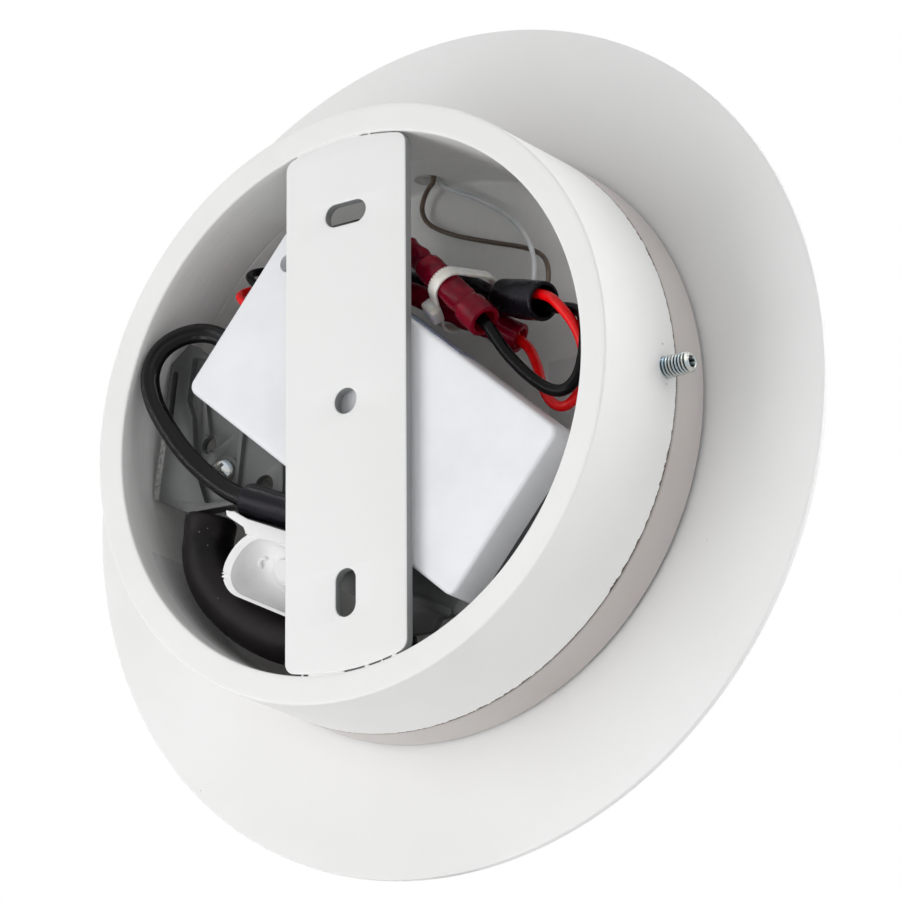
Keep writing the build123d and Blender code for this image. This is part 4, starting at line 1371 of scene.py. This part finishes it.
@dataclass
class Terminal:
    """The white trough at the lower left, the boss in it and its torn lever."""

    x: float = 35.9
    height: float = -40.4
    slant: float = 28.1
    radius: float = 8.6
    wall: float = 1.0
    crescent: float = 1.8
    upper_reach: float = 2.8
    lower_trim: float = 1.4
    straight: float = 19.0
    rim: float = 4.6
    block_length: float = 14.0
    block_width: float = 10.2
    block_height: float = 2.6
    block_offset: float = 8.4
    block_across: float = -3.6
    block_skirt: float = 0.5
    ring_share: float = 0.62
    ring_proud: float = 0.5
    hook_place: tuple[float, float] = (-0.6, -3.8)
    hook_radius: float = 1.5
    hook_thickness: float = 0.65
    hook_lift: float = 0.25
    frays: tuple[Place, ...] = ((-7.4, 3.2, 0.0), (-3.4, -9.6, 0.0))
    fray_width: float = 1.0
    fray_reach: float = 0.07
    fray_depth: float = 0.25
    tears: tuple[tuple[Place, float], ...] = (((42.5, -22.6, 0.0), 1.2), ((36.4, -28.6, 0.0), 1.0))
    tear_depth: float = 0.3
    lever_outline: tuple[tuple[float, float], ...] = (
        (42.7, -21.7), (39.8, -22.6), (35.4, -25.6), (22.0, -31.8), (20.4, -36.2), (33.6, -31.0),
        (36.0, -29.7), (36.7, -27.7), (42.3, -23.4))
    lever_thickness: float = 1.0
    lever_edge: float = 0.22

    def lay(self, points: Array) -> Array:
        """Turns (along, across, depth past the rim) into places."""
        return laid(points, self.x, self.height, 180 + self.slant, self.rim)

    def stretch(self, across: Array) -> Array:
        """How far each side is widened: more towards the lever, less on the lower side."""
        return np.where(across < 0, 1 + self.upper_reach / self.radius, 1 - self.lower_trim / self.radius)

    def bowl(self, radius: float, forward: float = 0.0) -> Array:
        """The trough's half-round form.

        A U-shaped spine runs in along one side, round the end and back; the
        point at (rise, t) is the spine plus radius times the cosine of the
        rise outwards and the sine of it away from the wall.

        Args:
            radius: the form's radius.
            forward: how far the round end stands in towards the open end.

        Returns:
            A grid, the rim's row first.
        """
        run = np.linspace(self.straight, 0, 80)
        bend = np.linspace(-math.pi / 2, -3 * math.pi / 2, 141)
        spine = np.concatenate([run, np.zeros(139), run[::-1]])
        turn = np.concatenate([np.full(80, bend[0]), bend[1:-1], np.full(80, bend[-1])])
        rise = np.linspace(0, math.pi / 2, 20)[:, None]
        along = spine + forward * (1 - spine / self.straight)
        grid = np.stack(np.broadcast_arrays(along + radius * np.cos(rise) * np.cos(turn),
                                            radius * np.cos(rise) * np.sin(turn), radius * np.sin(rise)),
                        axis=-1).copy()
        grid[..., 1] = grid[..., 1] * self.stretch(grid[..., 1])
        return grid

    def bed(self, u: Array, v: Array) -> Array:
        """The depth of the trough's inner surface at a place (along, across)."""
        inner = self.radius - self.wall
        share = (v / (self.stretch(v) * inner)) ** 2 + (np.minimum(u - self.crescent, 0) / inner) ** 2
        return inner * np.sqrt(np.clip(1 - share, 0, 1))

    def trough(self) -> bpy.types.Object:
        """Joins the outer and inner forms by a rim that is wide at the round end and frayed in two places."""
        outer = self.bowl(self.radius)
        inner = self.bowl(self.radius - self.wall, self.crescent)
        fray = sum(bump_at(outer[0], spot, self.fray_width) for spot in self.frays)
        outer[0, :, :2] *= (1 + self.fray_reach * fray * noise(outer[0], 0.7, 5))[:, None]
        waves = 0.12 + 0.05 * noise(outer[0], 5.0, 6)
        outer[0, :, 2] -= waves + self.fray_depth * fray * noise(outer[0], 0.8, 7)
        inner[0, :, 2] += 0.06 * noise(inner[0], 6.0, 8)
        shell = Shell("terminal_trough")
        shell.patch(self.lay(np.concatenate([inner[::-1], outer])), wrap_columns=False)
        for column in (0, -1):
            shell.patch(self.lay(np.stack([inner[:, column], outer[:, column]])), wrap_columns=False)
        return shell.close(50)

    def block(self) -> bpy.types.Object:
        """Makes the oval boss in the trough with its raised ring, and the small hook beside it.

        The point at (spread, turn) lies that share of the way out in the
        oval; it stands over the bed by the boss's height times one minus a
        smooth step near the outline, and a bell curve of the spread raises
        the ring.
        """
        spread = np.linspace(0, 1, 41)[:, None]
        turn = np.linspace(0, 2 * math.pi, 96, endpoint=False)[None, :]
        u = self.block_offset + spread * self.block_length / 2 * np.cos(turn)
        v = self.block_across + spread * self.block_width / 2 * np.sin(turn)
        step = np.clip((spread - 0.5) / 0.5, 0, 1)
        ring = self.ring_proud * np.exp(-((spread - self.ring_share) / 0.07) ** 2)
        proud = self.block_height * (1 - step * step * (3 - 2 * step)) + ring - 0.06
        bed = self.bed(u, v)
        top = np.stack(np.broadcast_arrays(u, v, bed - proud), -1)
        low = np.stack(np.broadcast_arrays(u, v, bed + self.block_skirt), -1)
        shell = Shell("terminal_insert")
        shell.patch(self.lay(top))
        shell.patch(self.lay(low))
        shell.patch(self.lay(np.stack([top[-1], low[-1]])))
        way = np.linspace(math.radians(-70), math.radians(110), 25)
        hook_u = self.hook_place[0] - self.hook_radius * np.cos(way)
        hook_v = self.hook_place[1] - self.hook_radius * np.sin(way)
        hook = self.lay(np.stack([hook_u, hook_v, self.bed(hook_u, hook_v) - self.hook_lift], -1))
        swell = self.hook_thickness * np.sqrt(np.clip(1 - np.linspace(-1, 1, 25) ** 6, 0, 1))
        shell.patch(carried(hook, round_section(swell, 25, 14)))
        return shell.close(50)

    def lever(self) -> bpy.types.Object:
        """Cuts the lever's thin plate, with torn ends."""
        outline = refined(np.asarray(self.lever_outline, dtype=float), 0.6)
        u, v = outline.T
        if np.sum(u * np.roll(v, -1) - v * np.roll(u, -1)) < 0:
            outline = outline[::-1]
        spots = np.column_stack([outline, np.zeros(len(outline))])
        torn = sum(bump_at(spots, spot, width) for spot, width in self.tears)
        outline = outline + (self.tear_depth * torn * noise(spots, 0.9, 3))[:, None]
        return plate("terminal_strip", outline, [], self.rim - self.lever_thickness, self.rim,
                     self.lever_edge)

    def build(self) -> None:
        """Builds the terminal cover's pieces."""
        show(self.trough(), Body.FRONT, MILKY, "milky_plastic", "terminal_cover")
        show(self.block(), Body.FRONT, MILKY, "milky_plastic", "terminal_block")
        show(self.lever(), Body.FRONT, MILKY, "milky_plastic", "terminal_lever")


# Wiring

@dataclass
class Splice:
    """A crimson vinyl splice: slim neck, wrinkled body and a thick-walled mouth."""

    name: str
    axis: Axis
    radius: float
    seed: int
    neck: float = 3.1
    neck_length: float = 9.0
    mouth_length: float = 8.5
    flare: float = 0.7
    wall: float = 1.4
    bore_depth: float = 5.0
    outside_points: int = 20

    def build(self) -> bpy.types.Object:
        """Turns the splice's profile, with soft flats and wrinkles on it."""
        run = self.axis.run()
        mouth = self.radius + self.flare
        bore = mouth - self.wall
        corners = [(0, 0.001), (0, self.neck), (self.neck_length, self.neck),
                   (self.neck_length + 1.2, self.radius), (run - self.mouth_length, self.radius),
                   (run - self.mouth_length + 1.5, mouth), (run, mouth), (run, bore),
                   (run - self.bore_depth, bore), (run - self.bore_depth, 0.001)]
        radii = [0.0005, 0.6, 1.0, 0.8, 1.2, 1.2, 0.4, 0.3, 0.3, 0.0005]
        profile = refined(rounded(corners, radii), 0.5)
        # The profile ends inside the bore, before the side that runs back along the axis.
        inside = (profile[:, 0] < run - self.bore_depth + 0.01) & (profile[:, 1] < bore * 0.9)
        profile = profile[:np.argmax(inside & (np.arange(len(profile)) > self.outside_points)) + 1]

        def swell(along: Array, angle: Array) -> Array:
            """Flats of a shrunk tube and soft wrinkles, less towards the mouth."""
            places = np.stack([along, 4 * np.cos(angle), 4 * np.sin(angle)], axis=-1)
            calm = 1 - 0.75 * np.clip((along - run + 9) / 5, 0, 1)
            return calm * (0.22 * noise(places, 7.0, self.seed) + 0.12 * noise(places, 3.0, self.seed + 1))

        shell = Shell(self.name + "_sleeve")
        shell.patch(self.axis.place(turned(profile, 64, swell)))
        return show(shell.close(50), Body.FRONT, VINYL, "crimson_vinyl", self.name)


@dataclass
class Wiring:
    """Leads, sleeves, splices, the hose and the cable tie."""

    splice_one: Axis = field(default_factory=lambda: Axis((-12.9, 44.7, 10.5), (-38.6, 17.3, 10.5)))
    splice_two: Axis = field(default_factory=lambda: Axis((-8.6, 34.3, 15.2), (-39.0, 17.2, 27.0)))
    splice_one_radius: float = 4.0
    splice_two_radius: float = 3.5
    output: Axis = field(default_factory=lambda: Axis((-53.3, 21.9, 17.2), (-36.4, 28.0, 20.9)))
    output_radius: float = 5.5
    output_wall: float = 1.2
    output_recess: float = 5.0
    mains_sleeve: Axis = field(default_factory=lambda: Axis((38.8, -18.3, 8.4), (14.6, -29.2, 8.4)))
    mains_sleeve_radius: float = 5.0
    mains_radius: float = 2.7
    mains_half_depth: float = 2.15
    mains_dip: float = 0.2
    mains_exit: tuple[Place, Place] = ((58.5, -9.9, 8.8), (63.1, -9.9, 8.8))
    black_radius: float = 1.65
    red_radius: float = 1.4
    driver_lead_radius: float = 1.15
    strip_lead_radius: float = 0.7
    entry: float = 5.0
    run_out: float = 1.5
    black_seat: tuple[float, float] = (1.0, 1.9)
    red_seat: tuple[float, float] = (-1.7, -1.3)
    sheath_route: tuple[Place, ...] = (
        (-28.0, 33.2, 22.8), (-21.0, 37.2, 23.9), (-11.5, 39.8, 24.9), (-1.0, 41.4, 25.4),
        (9.5, 43.0, 24.8), (19.5, 44.2, 24.0))
    sheath_radius: float = 2.5
    hose_route: tuple[Place, ...] = (
        (55.6, -17.6, 14.6), (57.3, -24.0, 14.4), (56.9, -31.0, 14.4), (53.9, -38.4, 14.6),
        (48.6, -45.2, 15.0), (41.4, -51.4, 15.4), (32.0, -56.8, 16.2), (20.5, -60.8, 18.6),
        (8.0, -62.8, 22.8), (-4.0, -62.6, 26.6))
    hose_radius: float = 7.4
    tie_width: float = 3.6
    tie_thickness: float = 0.9
    tie_clearance: float = 0.3
    tie_station: float = 19.6
    tie_room: tuple[float, float, float] = (0.0, 1.0, 1.15)
    tie_head: tuple[float, float, float] = (5.6, 3.4, 6.0)
    driver: Driver = field(default_factory=Driver)

    def mains(self) -> bpy.types.Object:
        """Carries a flat twin section along the mains lead.

        The section is an oval whose top and bottom dip in the middle, where
        its two cores part.
        """
        ends = self.driver.lay(np.array(self.mains_exit))
        route = [tuple(ends[0]), tuple(ends[1]), (56.0, 33.6, 6.8), (62.2, 32.0, 4.6), (67.0, 28.4, 3.5),
                 (69.3, 22.4, 3.1), (67.8, 14.8, 3.1), (63.6, 6.8, 3.6), (58.2, -1.7, 5.0), (51.8, -8.9, 6.8),
                 self.mains_sleeve.port(4.2), self.mains_sleeve.port(-6.0)]
        path = spline(route)
        turn = np.linspace(0, 2 * math.pi, 40, endpoint=False)
        dip = 1 - self.mains_dip * np.exp(-((np.cos(turn) / 0.26) ** 2))
        section = np.stack([self.mains_radius * np.cos(turn), self.mains_half_depth * np.sin(turn) * dip],
                           axis=-1)
        return cord_piece("mains_twin_lead", path, section, (0, 0, 1))

    def sleeve(self) -> bpy.types.Object:
        """Turns the mains lead's shrink sleeve, with a soft lip and a little sag in its wall."""
        run = self.mains_sleeve.run()
        r = self.mains_sleeve_radius
        profile = np.concatenate([[[6.0, 0.0], [6.0, 2.95], [0.6, 2.95], [0.15, 3.2]],
                                  [[0.0, 3.8], [0.05, 4.3], [0.35, 4.75]],
                                  np.stack([np.linspace(0.9, run - 0.6, 40), np.full(40, r)], axis=1),
                                  [[run, r - 0.4], [run, 0.0]]])

        def swell(along: Array, angle: Array) -> Array:
            """Soft flats and a slimmer waist behind the lip."""
            places = np.stack([along, 5 * np.cos(angle), 5 * np.sin(angle)], axis=-1)
            return np.clip(along / 2, 0, 1) * (0.12 * noise(places, 9.0, 31) - 0.1)

        shell = Shell("mains_shrink_sleeve")
        shell.patch(self.mains_sleeve.place(turned(profile, 56, swell)))
        return shell.close(45)

    def hose(self) -> bpy.types.Object:
        """Carries a round section along the hose, pinched and creased at its closed end.

        The radius rises over the tip as the cube root of one minus the cube
        of what is left; flats and soft dents ride on it.
        """
        path = spline(self.hose_route)
        run = lengths(path)
        t = np.clip(run / 2.6, 0, 1)
        tip = (1 - (1 - t) ** 3) ** (1 / 3)
        back = np.clip((run[-1] - run) / 1.2, 0, 1)
        scale = tip * (1 - (1 - back) ** 3) ** (1 / 3)
        turn = np.linspace(0, 2 * math.pi, 64, endpoint=False)[None, :]
        far = run[:, None]
        places = np.stack(np.broadcast_arrays(far, 7 * np.cos(turn), 7 * np.sin(turn)), axis=-1)
        radius = self.hose_radius * (1 - 0.012 * (1 + noise(places, 14.0, 11)))
        radius = radius - 0.9 * np.exp(-((far - 6.5) / 2.6) ** 2) * np.exp(-((np.sin(turn) + 0.75)
                                                                             / 0.3) ** 2)
        radius = radius - 0.5 * np.exp(-((far - 11) / 3) ** 2) * np.exp(-((np.cos(turn) - 0.5) / 0.35) ** 2)
        radius = np.minimum(radius, self.hose_radius) * scale[:, None]
        section = np.stack(np.broadcast_arrays(radius * np.cos(turn), radius * np.sin(turn)), axis=-1)
        shell = Shell("hose_closed_end")
        shell.patch(carried(path, section), along=run / PER_METRE)
        return shell.close(60)

    def output_sleeve(self) -> bpy.types.Object:
        """Turns the black output sleeve: an open mouth and a lumpy taper towards the tie."""
        run = self.output.run()
        r = self.output_radius
        bore = r - self.output_wall
        profile = np.array([[self.output_recess, 0.0], [self.output_recess, bore], [0.4, bore],
                            [0.1, bore + 0.15], [0.0, bore + 0.5], [0.1, r - 0.25], [0.4, r - 0.05]])
        tail = np.stack([np.linspace(0.8, run - 1.6, 36), np.full(36, r)], axis=1)
        profile = np.concatenate([profile, tail, [[run - 0.9, r - 0.3], [run - 0.3, r - 1.0], [run, r - 1.8],
                                                  [run, 0.0]]])

        def swell(along: Array, angle: Array) -> Array:
            """Lumps from the leads inside, growing towards the tie."""
            places = np.stack([along, 5 * np.cos(angle), 5 * np.sin(angle)], axis=-1)
            grow = np.clip((along - 8) / 8, 0, 1)
            return -grow * (0.35 + 0.3 * noise(places, 6.0, 21)) - 0.05 * (1 + noise(places, 9.0, 22))

        shell = Shell("output_shrink_sleeve")
        shell.patch(self.output.place(turned(profile, 64, swell)))
        return shell.close(45)

    def sheath(self) -> bpy.types.Object:
        """Carries a round section along the sheath behind the output sleeve."""
        back = Axis(self.output.end, self.output.start)
        path = spline([self.output.end, back.port(3.5), *self.sheath_route])
        radius = self.sheath_radius * (1 + 0.02 * noise(path, 9.0, 41))
        return cord_piece("sheath_tube", path, round_section(radius, len(path), 32))

    def tie(self) -> bpy.types.Object:
        """Makes the cable tie: a flat band drawn taut round three round pieces, with its head.

        The band's outline at a normal angle is the farthest of the three
        circles' points in that direction, so it follows a circle where it
        touches one and runs straight between them.
        """
        one_way = unit(np.subtract(self.splice_one.end, self.splice_one.start))
        a = np.asarray(self.splice_one.start) + one_way * self.tie_station

        def crossing(start: Place, end: Place) -> Array:
            """Where a straight piece's middle line meets the tie's plane."""
            way = unit(np.subtract(end, start))
            return np.asarray(start) + way * ((a - np.asarray(start)) @ one_way) / (way @ one_way)

        b = crossing(self.output.end, self.sheath_route[0])
        c = crossing(self.splice_two.start, self.splice_two.end)
        x_way = unit(b - a - one_way * ((b - a) @ one_way))
        y_way = np.cross(one_way, x_way)
        centres = np.stack([[(p - a) @ x_way, (p - a) @ y_way] for p in (a, b, c)])
        radii = np.array([self.splice_one_radius, self.sheath_radius,
                          self.splice_two_radius]) + self.tie_room + self.tie_clearance
        angle = np.linspace(0, 2 * math.pi, 240, endpoint=False)
        normal = np.stack([np.cos(angle), np.sin(angle)], axis=1)
        farthest = np.argmax(normal @ centres.T + radii, axis=1)
        loop = centres[farthest] + (radii[farthest, None] + self.tie_thickness / 2) * normal
        half_w, half_t = self.tie_width / 2, self.tie_thickness / 2
        section = rounded([(half_t, -half_w), (half_t, half_w), (-half_t, half_w), (-half_t, -half_w)],
                          0.3, 3)
        section = refined(section, 0.4)
        flat = loop[:, None] + section[None, :, :1] * normal[:, None]
        world = a + flat[..., :1] * x_way + flat[..., 1:] * y_way + section[None, :, 1:] * one_way
        shell = Shell("cable_tie_band")
        run = lengths(np.concatenate([loop, loop[:1]]))[:-1]
        shell.patch(world, wrap_rows=True, along=run / PER_METRE)
        side_way = unit(centres[2] - centres[0])
        out_way = np.array([side_way[1], -side_way[0]])
        if out_way[0] > 0:
            out_way = -out_way
        seat = (centres[0] + centres[2]) / 2 + out_way * (self.splice_one_radius + self.tie_clearance
                                                          + self.tie_thickness)
        self.head(shell, a + seat[0] * x_way + seat[1] * y_way, side_way[0] * x_way + side_way[1] * y_way,
                  one_way, out_way[0] * x_way + out_way[1] * y_way)
        return shell.close(50)

    def head(self, shell: Shell, seat: Array, level: Array, along: Array, out: Array) -> None:
        """Adds the tie's head: a box whose sides are a rounded square raised to a dome at its top."""
        wide, tall, deep = self.tie_head
        outline = rounded([(1, -1), (1, 1), (-1, 1), (-1, -1)], 0.35, 5)
        outline = np.concatenate([outline[k:k + 6] for k in range(0, 24, 6)])
        rows = []
        for height, scale in ((-0.4, 0.0), (-0.4, 0.9), (0.0, 1.0), (tall * 0.62, 0.97), (tall * 0.8, 0.9),
                              (tall - 0.5, 0.76), (tall - 0.42, 0.5), (tall - 0.4, 0.0)):
            rows.append(np.column_stack([outline * (wide / 2, deep / 2) * scale,
                                         np.full(len(outline), height)]))
        grid = np.stack(rows)
        shell.patch(seat + grid[..., :1] * level + grid[..., 1:2] * along + grid[..., 2:] * out,
                    along=np.zeros(len(rows)))

    def leads(self) -> None:
        """Makes the single-core leads between the sleeves, the splices, the driver and the light strip."""
        splice_one_back = Axis(self.splice_one.end, self.splice_one.start)
        splice_two_back = Axis(self.splice_two.end, self.splice_two.start)
        sheath_tip = Axis(self.sheath_route[-1], self.sheath_route[-2])
        black = [splice_one_back.port(-self.entry), splice_one_back.port(self.run_out), (-44.0, 8.4, 11.0),
                 (-51.0, 0.2, 11.2), (-57.6, -5.6, 11.5), (-63.2, -7.4, 11.6), (-67.8, -4.0, 11.6),
                 (-69.6, 3.2, 11.8), (-68.6, 11.2, 13.8), (-64.6, 17.4, 17.4),
                 self.output.port(self.run_out, *self.black_seat),
                 self.output.port(-self.entry, *self.black_seat)]
        red = [self.output.port(-self.entry, *self.red_seat), self.output.port(self.run_out, *self.red_seat),
               (-60.4, 18.6, 13.0), (-65.0, 11.4, 15.3), (-67.0, 2.4, 16.3), (-65.4, -6.0, 16.3),
               (-60.8, -10.2, 16.0), (-55.8, -8.0, 16.2), (-51.2, -1.0, 18.4), (-46.8, 6.8, 23.4),
               splice_two_back.port(self.run_out), splice_two_back.port(-self.entry)]
        self.lead("lead_black_output", black, self.black_radius, PVC_BLACK, "black_pvc", "black_lead")
        self.lead("lead_red_output", red, self.red_radius, PVC_RED, "red_pvc", "red_lead")
        red_uv = [(58.5, 1.4, 8.6), (64.2, 1.4, 8.6), (66.8, 3.4, 12.6), (65.4, 6.8, 17.6),
                  (61.0, 10.6, 21.6)]
        black_uv = [(58.5, 7.4, 8.6), (64.8, 7.4, 8.6), (67.8, 9.2, 12.6), (66.2, 12.4, 17.8),
                    (61.4, 15.6, 21.8)]
        for colour, finish, route, seat in (("red", PVC_RED, red_uv, 1.2),
                                            ("black", PVC_BLACK, black_uv, -1.2)):
            points = [tuple(p) for p in self.driver.lay(np.array(route))]
            points += [sheath_tip.port(6.0, -seat), sheath_tip.port(0.0, -seat)]
            self.lead("lead_driver_" + colour, points, self.driver_lead_radius, finish, colour + "_pvc",
                      "driver_lead_" + colour)
        bronze = [(-2.9, 78.0, 38.0), (-2.5, 74.8, 38.6), (0.8, 74.4, 40.6), (3.9, 72.2, 42.3),
                  (5.0, 68.8, 43.0), (3.0, 64.9, 43.2), (-2.2, 61.4, 43.0), (-9.6, 57.8, 42.2),
                  (-20.8, 53.2, 40.2), (-34.3, 47.9, 37.6), (-40.9, 43.5, 35.2), (-43.8, 39.2, 33.4),
                  (-44.4, 34.2, 32.6), (-42.0, 31.0, 33.4), (-35.0, 32.4, 34.6), (-23.0, 37.4, 35.2),
                  (-10.0, 44.0, 33.8), (-1.6, 48.6, 29.0), (1.2, 50.8, 21.6), (-1.4, 52.4, 14.6),
                  self.splice_one.port(self.entry), self.splice_one.start]
        white = [(-1.8, 78.0, 40.6), (-2.4, 74.8, 41.2), (-6.4, 72.4, 41.8), (-12.0, 69.6, 42.2),
                 (-18.4, 65.6, 42.2), (-25.2, 60.6, 41.0), (-32.2, 53.9, 38.0), (-37.8, 46.3, 34.2),
                 (-40.9, 39.6, 31.2), (-41.8, 33.8, 29.2), (-39.4, 29.6, 29.4), (-33.0, 28.8, 30.2),
                 (-22.0, 31.6, 30.8), (-11.0, 34.4, 29.6), (-4.0, 35.6, 25.4), (-1.8, 37.2, 18.6),
                 self.splice_two.port(self.entry), self.splice_two.start]
        self.lead("lead_strip_bronze", bronze, self.strip_lead_radius, STRANDS, "bronze_lead",
                  "strip_lead_bronze")
        self.lead("lead_strip_white", white, self.strip_lead_radius, PVC_WHITE, "white_pvc",
                  "strip_lead_white")

    def lead(self, name: str, route: Sequence[Place], radius: float, finish: Finish, slot: str,
             node: str) -> None:
        """Makes one round lead along its route and shows it in place of its CAD node."""
        path = spline(route)
        piece = cord_piece(name, path, round_section(radius, len(path)))
        show(piece, Body.FRONT, finish, slot, node)

    def build(self) -> None:
        """Builds all of the wiring."""
        show(self.mains(), Body.FRONT, PVC_SHEATH, "black_pvc", "mains_lead")
        show(self.sleeve(), Body.FRONT, SHRINK, "black_shrink", "mains_sleeve")
        show(self.hose(), Body.FRONT, HOSE, "black_rubber", "black_hose")
        Splice("splice_one", self.splice_one, self.splice_one_radius, 51).build()
        Splice("splice_two", self.splice_two, self.splice_two_radius, 61).build()
        show(self.output_sleeve(), Body.FRONT, SHRINK, "black_shrink", "output_sleeve")
        show(self.sheath(), Body.FRONT, SHRINK, "black_shrink", "lead_sheath")
        show(self.tie(), Body.FRONT, NYLON, "clear_nylon", "cable_tie")
        self.leads()


# Studio

@dataclass
class Lamp:
    """A square soft light that looks at the object's middle."""

    name: str
    place: Place
    size: float
    power: float


@dataclass
class Studio:
    """Camera, lamps, world and floor."""

    camera_place: Place = (-0.905574, 1.246262, -0.545912)
    camera_right: Place = (-0.8183949, -0.5746267, -0.0058238)
    camera_up: Place = (-0.1919996, 0.2638696, 0.9452560)
    camera_back: Place = (-0.5416326, 0.7747109, -0.3262777)
    lens: float = 243.44
    sensor: float = 36.0
    floor_height: float = -0.1215
    ambient: float = 0.375
    lamps: tuple[Lamp, ...] = (
        Lamp("lamp_left", (1.346, 1.986, 0.075), 1.6, 13.9),
        Lamp("lamp_left_low", (1.02, 1.768, -1.262), 1.4, 12.0),
        Lamp("lamp_left_low_near", (0.424, 0.619, -0.661), 0.8, 1.0),
        Lamp("lamp_right_up", (-1.975, 0.166, 1.353), 1.6, 11.0),
        Lamp("lamp_back_top", (0.602, -0.175, 2.317), 1.6, 10.6),
        Lamp("lamp_back_right", (-1.576, -1.608, 0.83), 1.6, 26.7))

    def camera(self) -> None:
        """Places the camera as the photograph was taken."""
        data = bpy.data.cameras.new("camera")
        data.lens = self.lens
        data.sensor_width = self.sensor
        data.clip_start = 0.05
        data.clip_end = 50.0
        view = bpy.data.objects.new("camera", data)
        turn = Matrix((self.camera_right, self.camera_up, self.camera_back)).transposed()
        view.matrix_world = Matrix.Translation(self.camera_place) @ turn.to_4x4()
        bpy.context.scene.collection.objects.link(view)
        bpy.context.scene.camera = view

    def light(self) -> None:
        """Hangs the lamps and sets the world."""
        for lamp in self.lamps:
            data = bpy.data.lights.new(lamp.name, "AREA")
            data.size = lamp.size
            data.energy = lamp.power
            # The floor is clear to shadow rays alone, so every lamp is sampled by them alone.
            data.cycles.use_multiple_importance_sampling = False
            holder = bpy.data.objects.new(lamp.name, data)
            holder.location = lamp.place
            holder.rotation_euler = (-Vector(lamp.place)).to_track_quat("-Z", "Y").to_euler()
            bpy.context.scene.collection.objects.link(holder)
        world = bpy.data.worlds.new("studio")
        bpy.context.scene.world = world
        world.use_nodes = True
        tree = world.node_tree
        tree.nodes.clear()
        ray = add(tree, "LightPath")
        seen = add(tree, "Math", add(tree, "Math", ray.outputs["Is Camera Ray"], ray.outputs["Is Glossy Ray"],
                                     operation="MAXIMUM"), ray.outputs["Is Transmission Ray"],
                   operation="MAXIMUM")
        strength = add(tree, "MapRange", seen, 0.0, 1.0, self.ambient, 1.0)
        glow = add(tree, "Background", {"Color": linear("#ffffff"), "Strength": strength})
        add(tree, "OutputWorld", {"Surface": glow.outputs[0]})

    def floor(self) -> None:
        """Lays a pale floor just under the disc; the camera and the low lamps look through it from below."""
        span = 6.0
        mesh = bpy.data.meshes.new("floor")
        mesh.from_pydata([(-span, -span, self.floor_height), (span, -span, self.floor_height),
                          (span, span, self.floor_height), (-span, span, self.floor_height)], [],
                         [(0, 1, 2, 3)])
        sheet = bpy.data.objects.new("floor", mesh)
        bpy.context.scene.collection.objects.link(sheet)
        made = bpy.data.materials.new("floor_paper")
        made.use_nodes = True
        tree = made.node_tree
        tree.nodes.clear()
        paper = add(tree, "BsdfDiffuse", {"Color": linear("#f4f4f4")})
        gone = add(tree, "BsdfTransparent")
        ray = add(tree, "LightPath")
        under = add(tree, "Math", add(tree, "NewGeometry").outputs["Backfacing"],
                    ray.outputs["Is Camera Ray"], operation="MULTIPLY")
        clear = add(tree, "Math", under, ray.outputs["Is Shadow Ray"], operation="MAXIMUM")
        both = add(tree, "MixShader", clear, paper.outputs[0], gone.outputs[0])
        add(tree, "OutputMaterial", {"Surface": both.outputs[0]})
        mesh.materials.append(made)

    def build(self) -> None:
        """Sets up the whole studio."""
        bpy.context.scene.view_settings.view_transform = "Standard"
        self.camera()
        self.light()
        self.floor()


def main() -> None:
    """Builds the light from its housing to its wiring, then the studio."""
    logging.basicConfig(level=logging.INFO, format="%(name)s %(message)s")
    Housing().build()
    for side in Side:
        GrubScrew(side).build()
    Front().build()
    Driver().build()
    Terminal().build()
    Wiring().build()
    Studio().build()


if __name__ == "__main__":
    main()
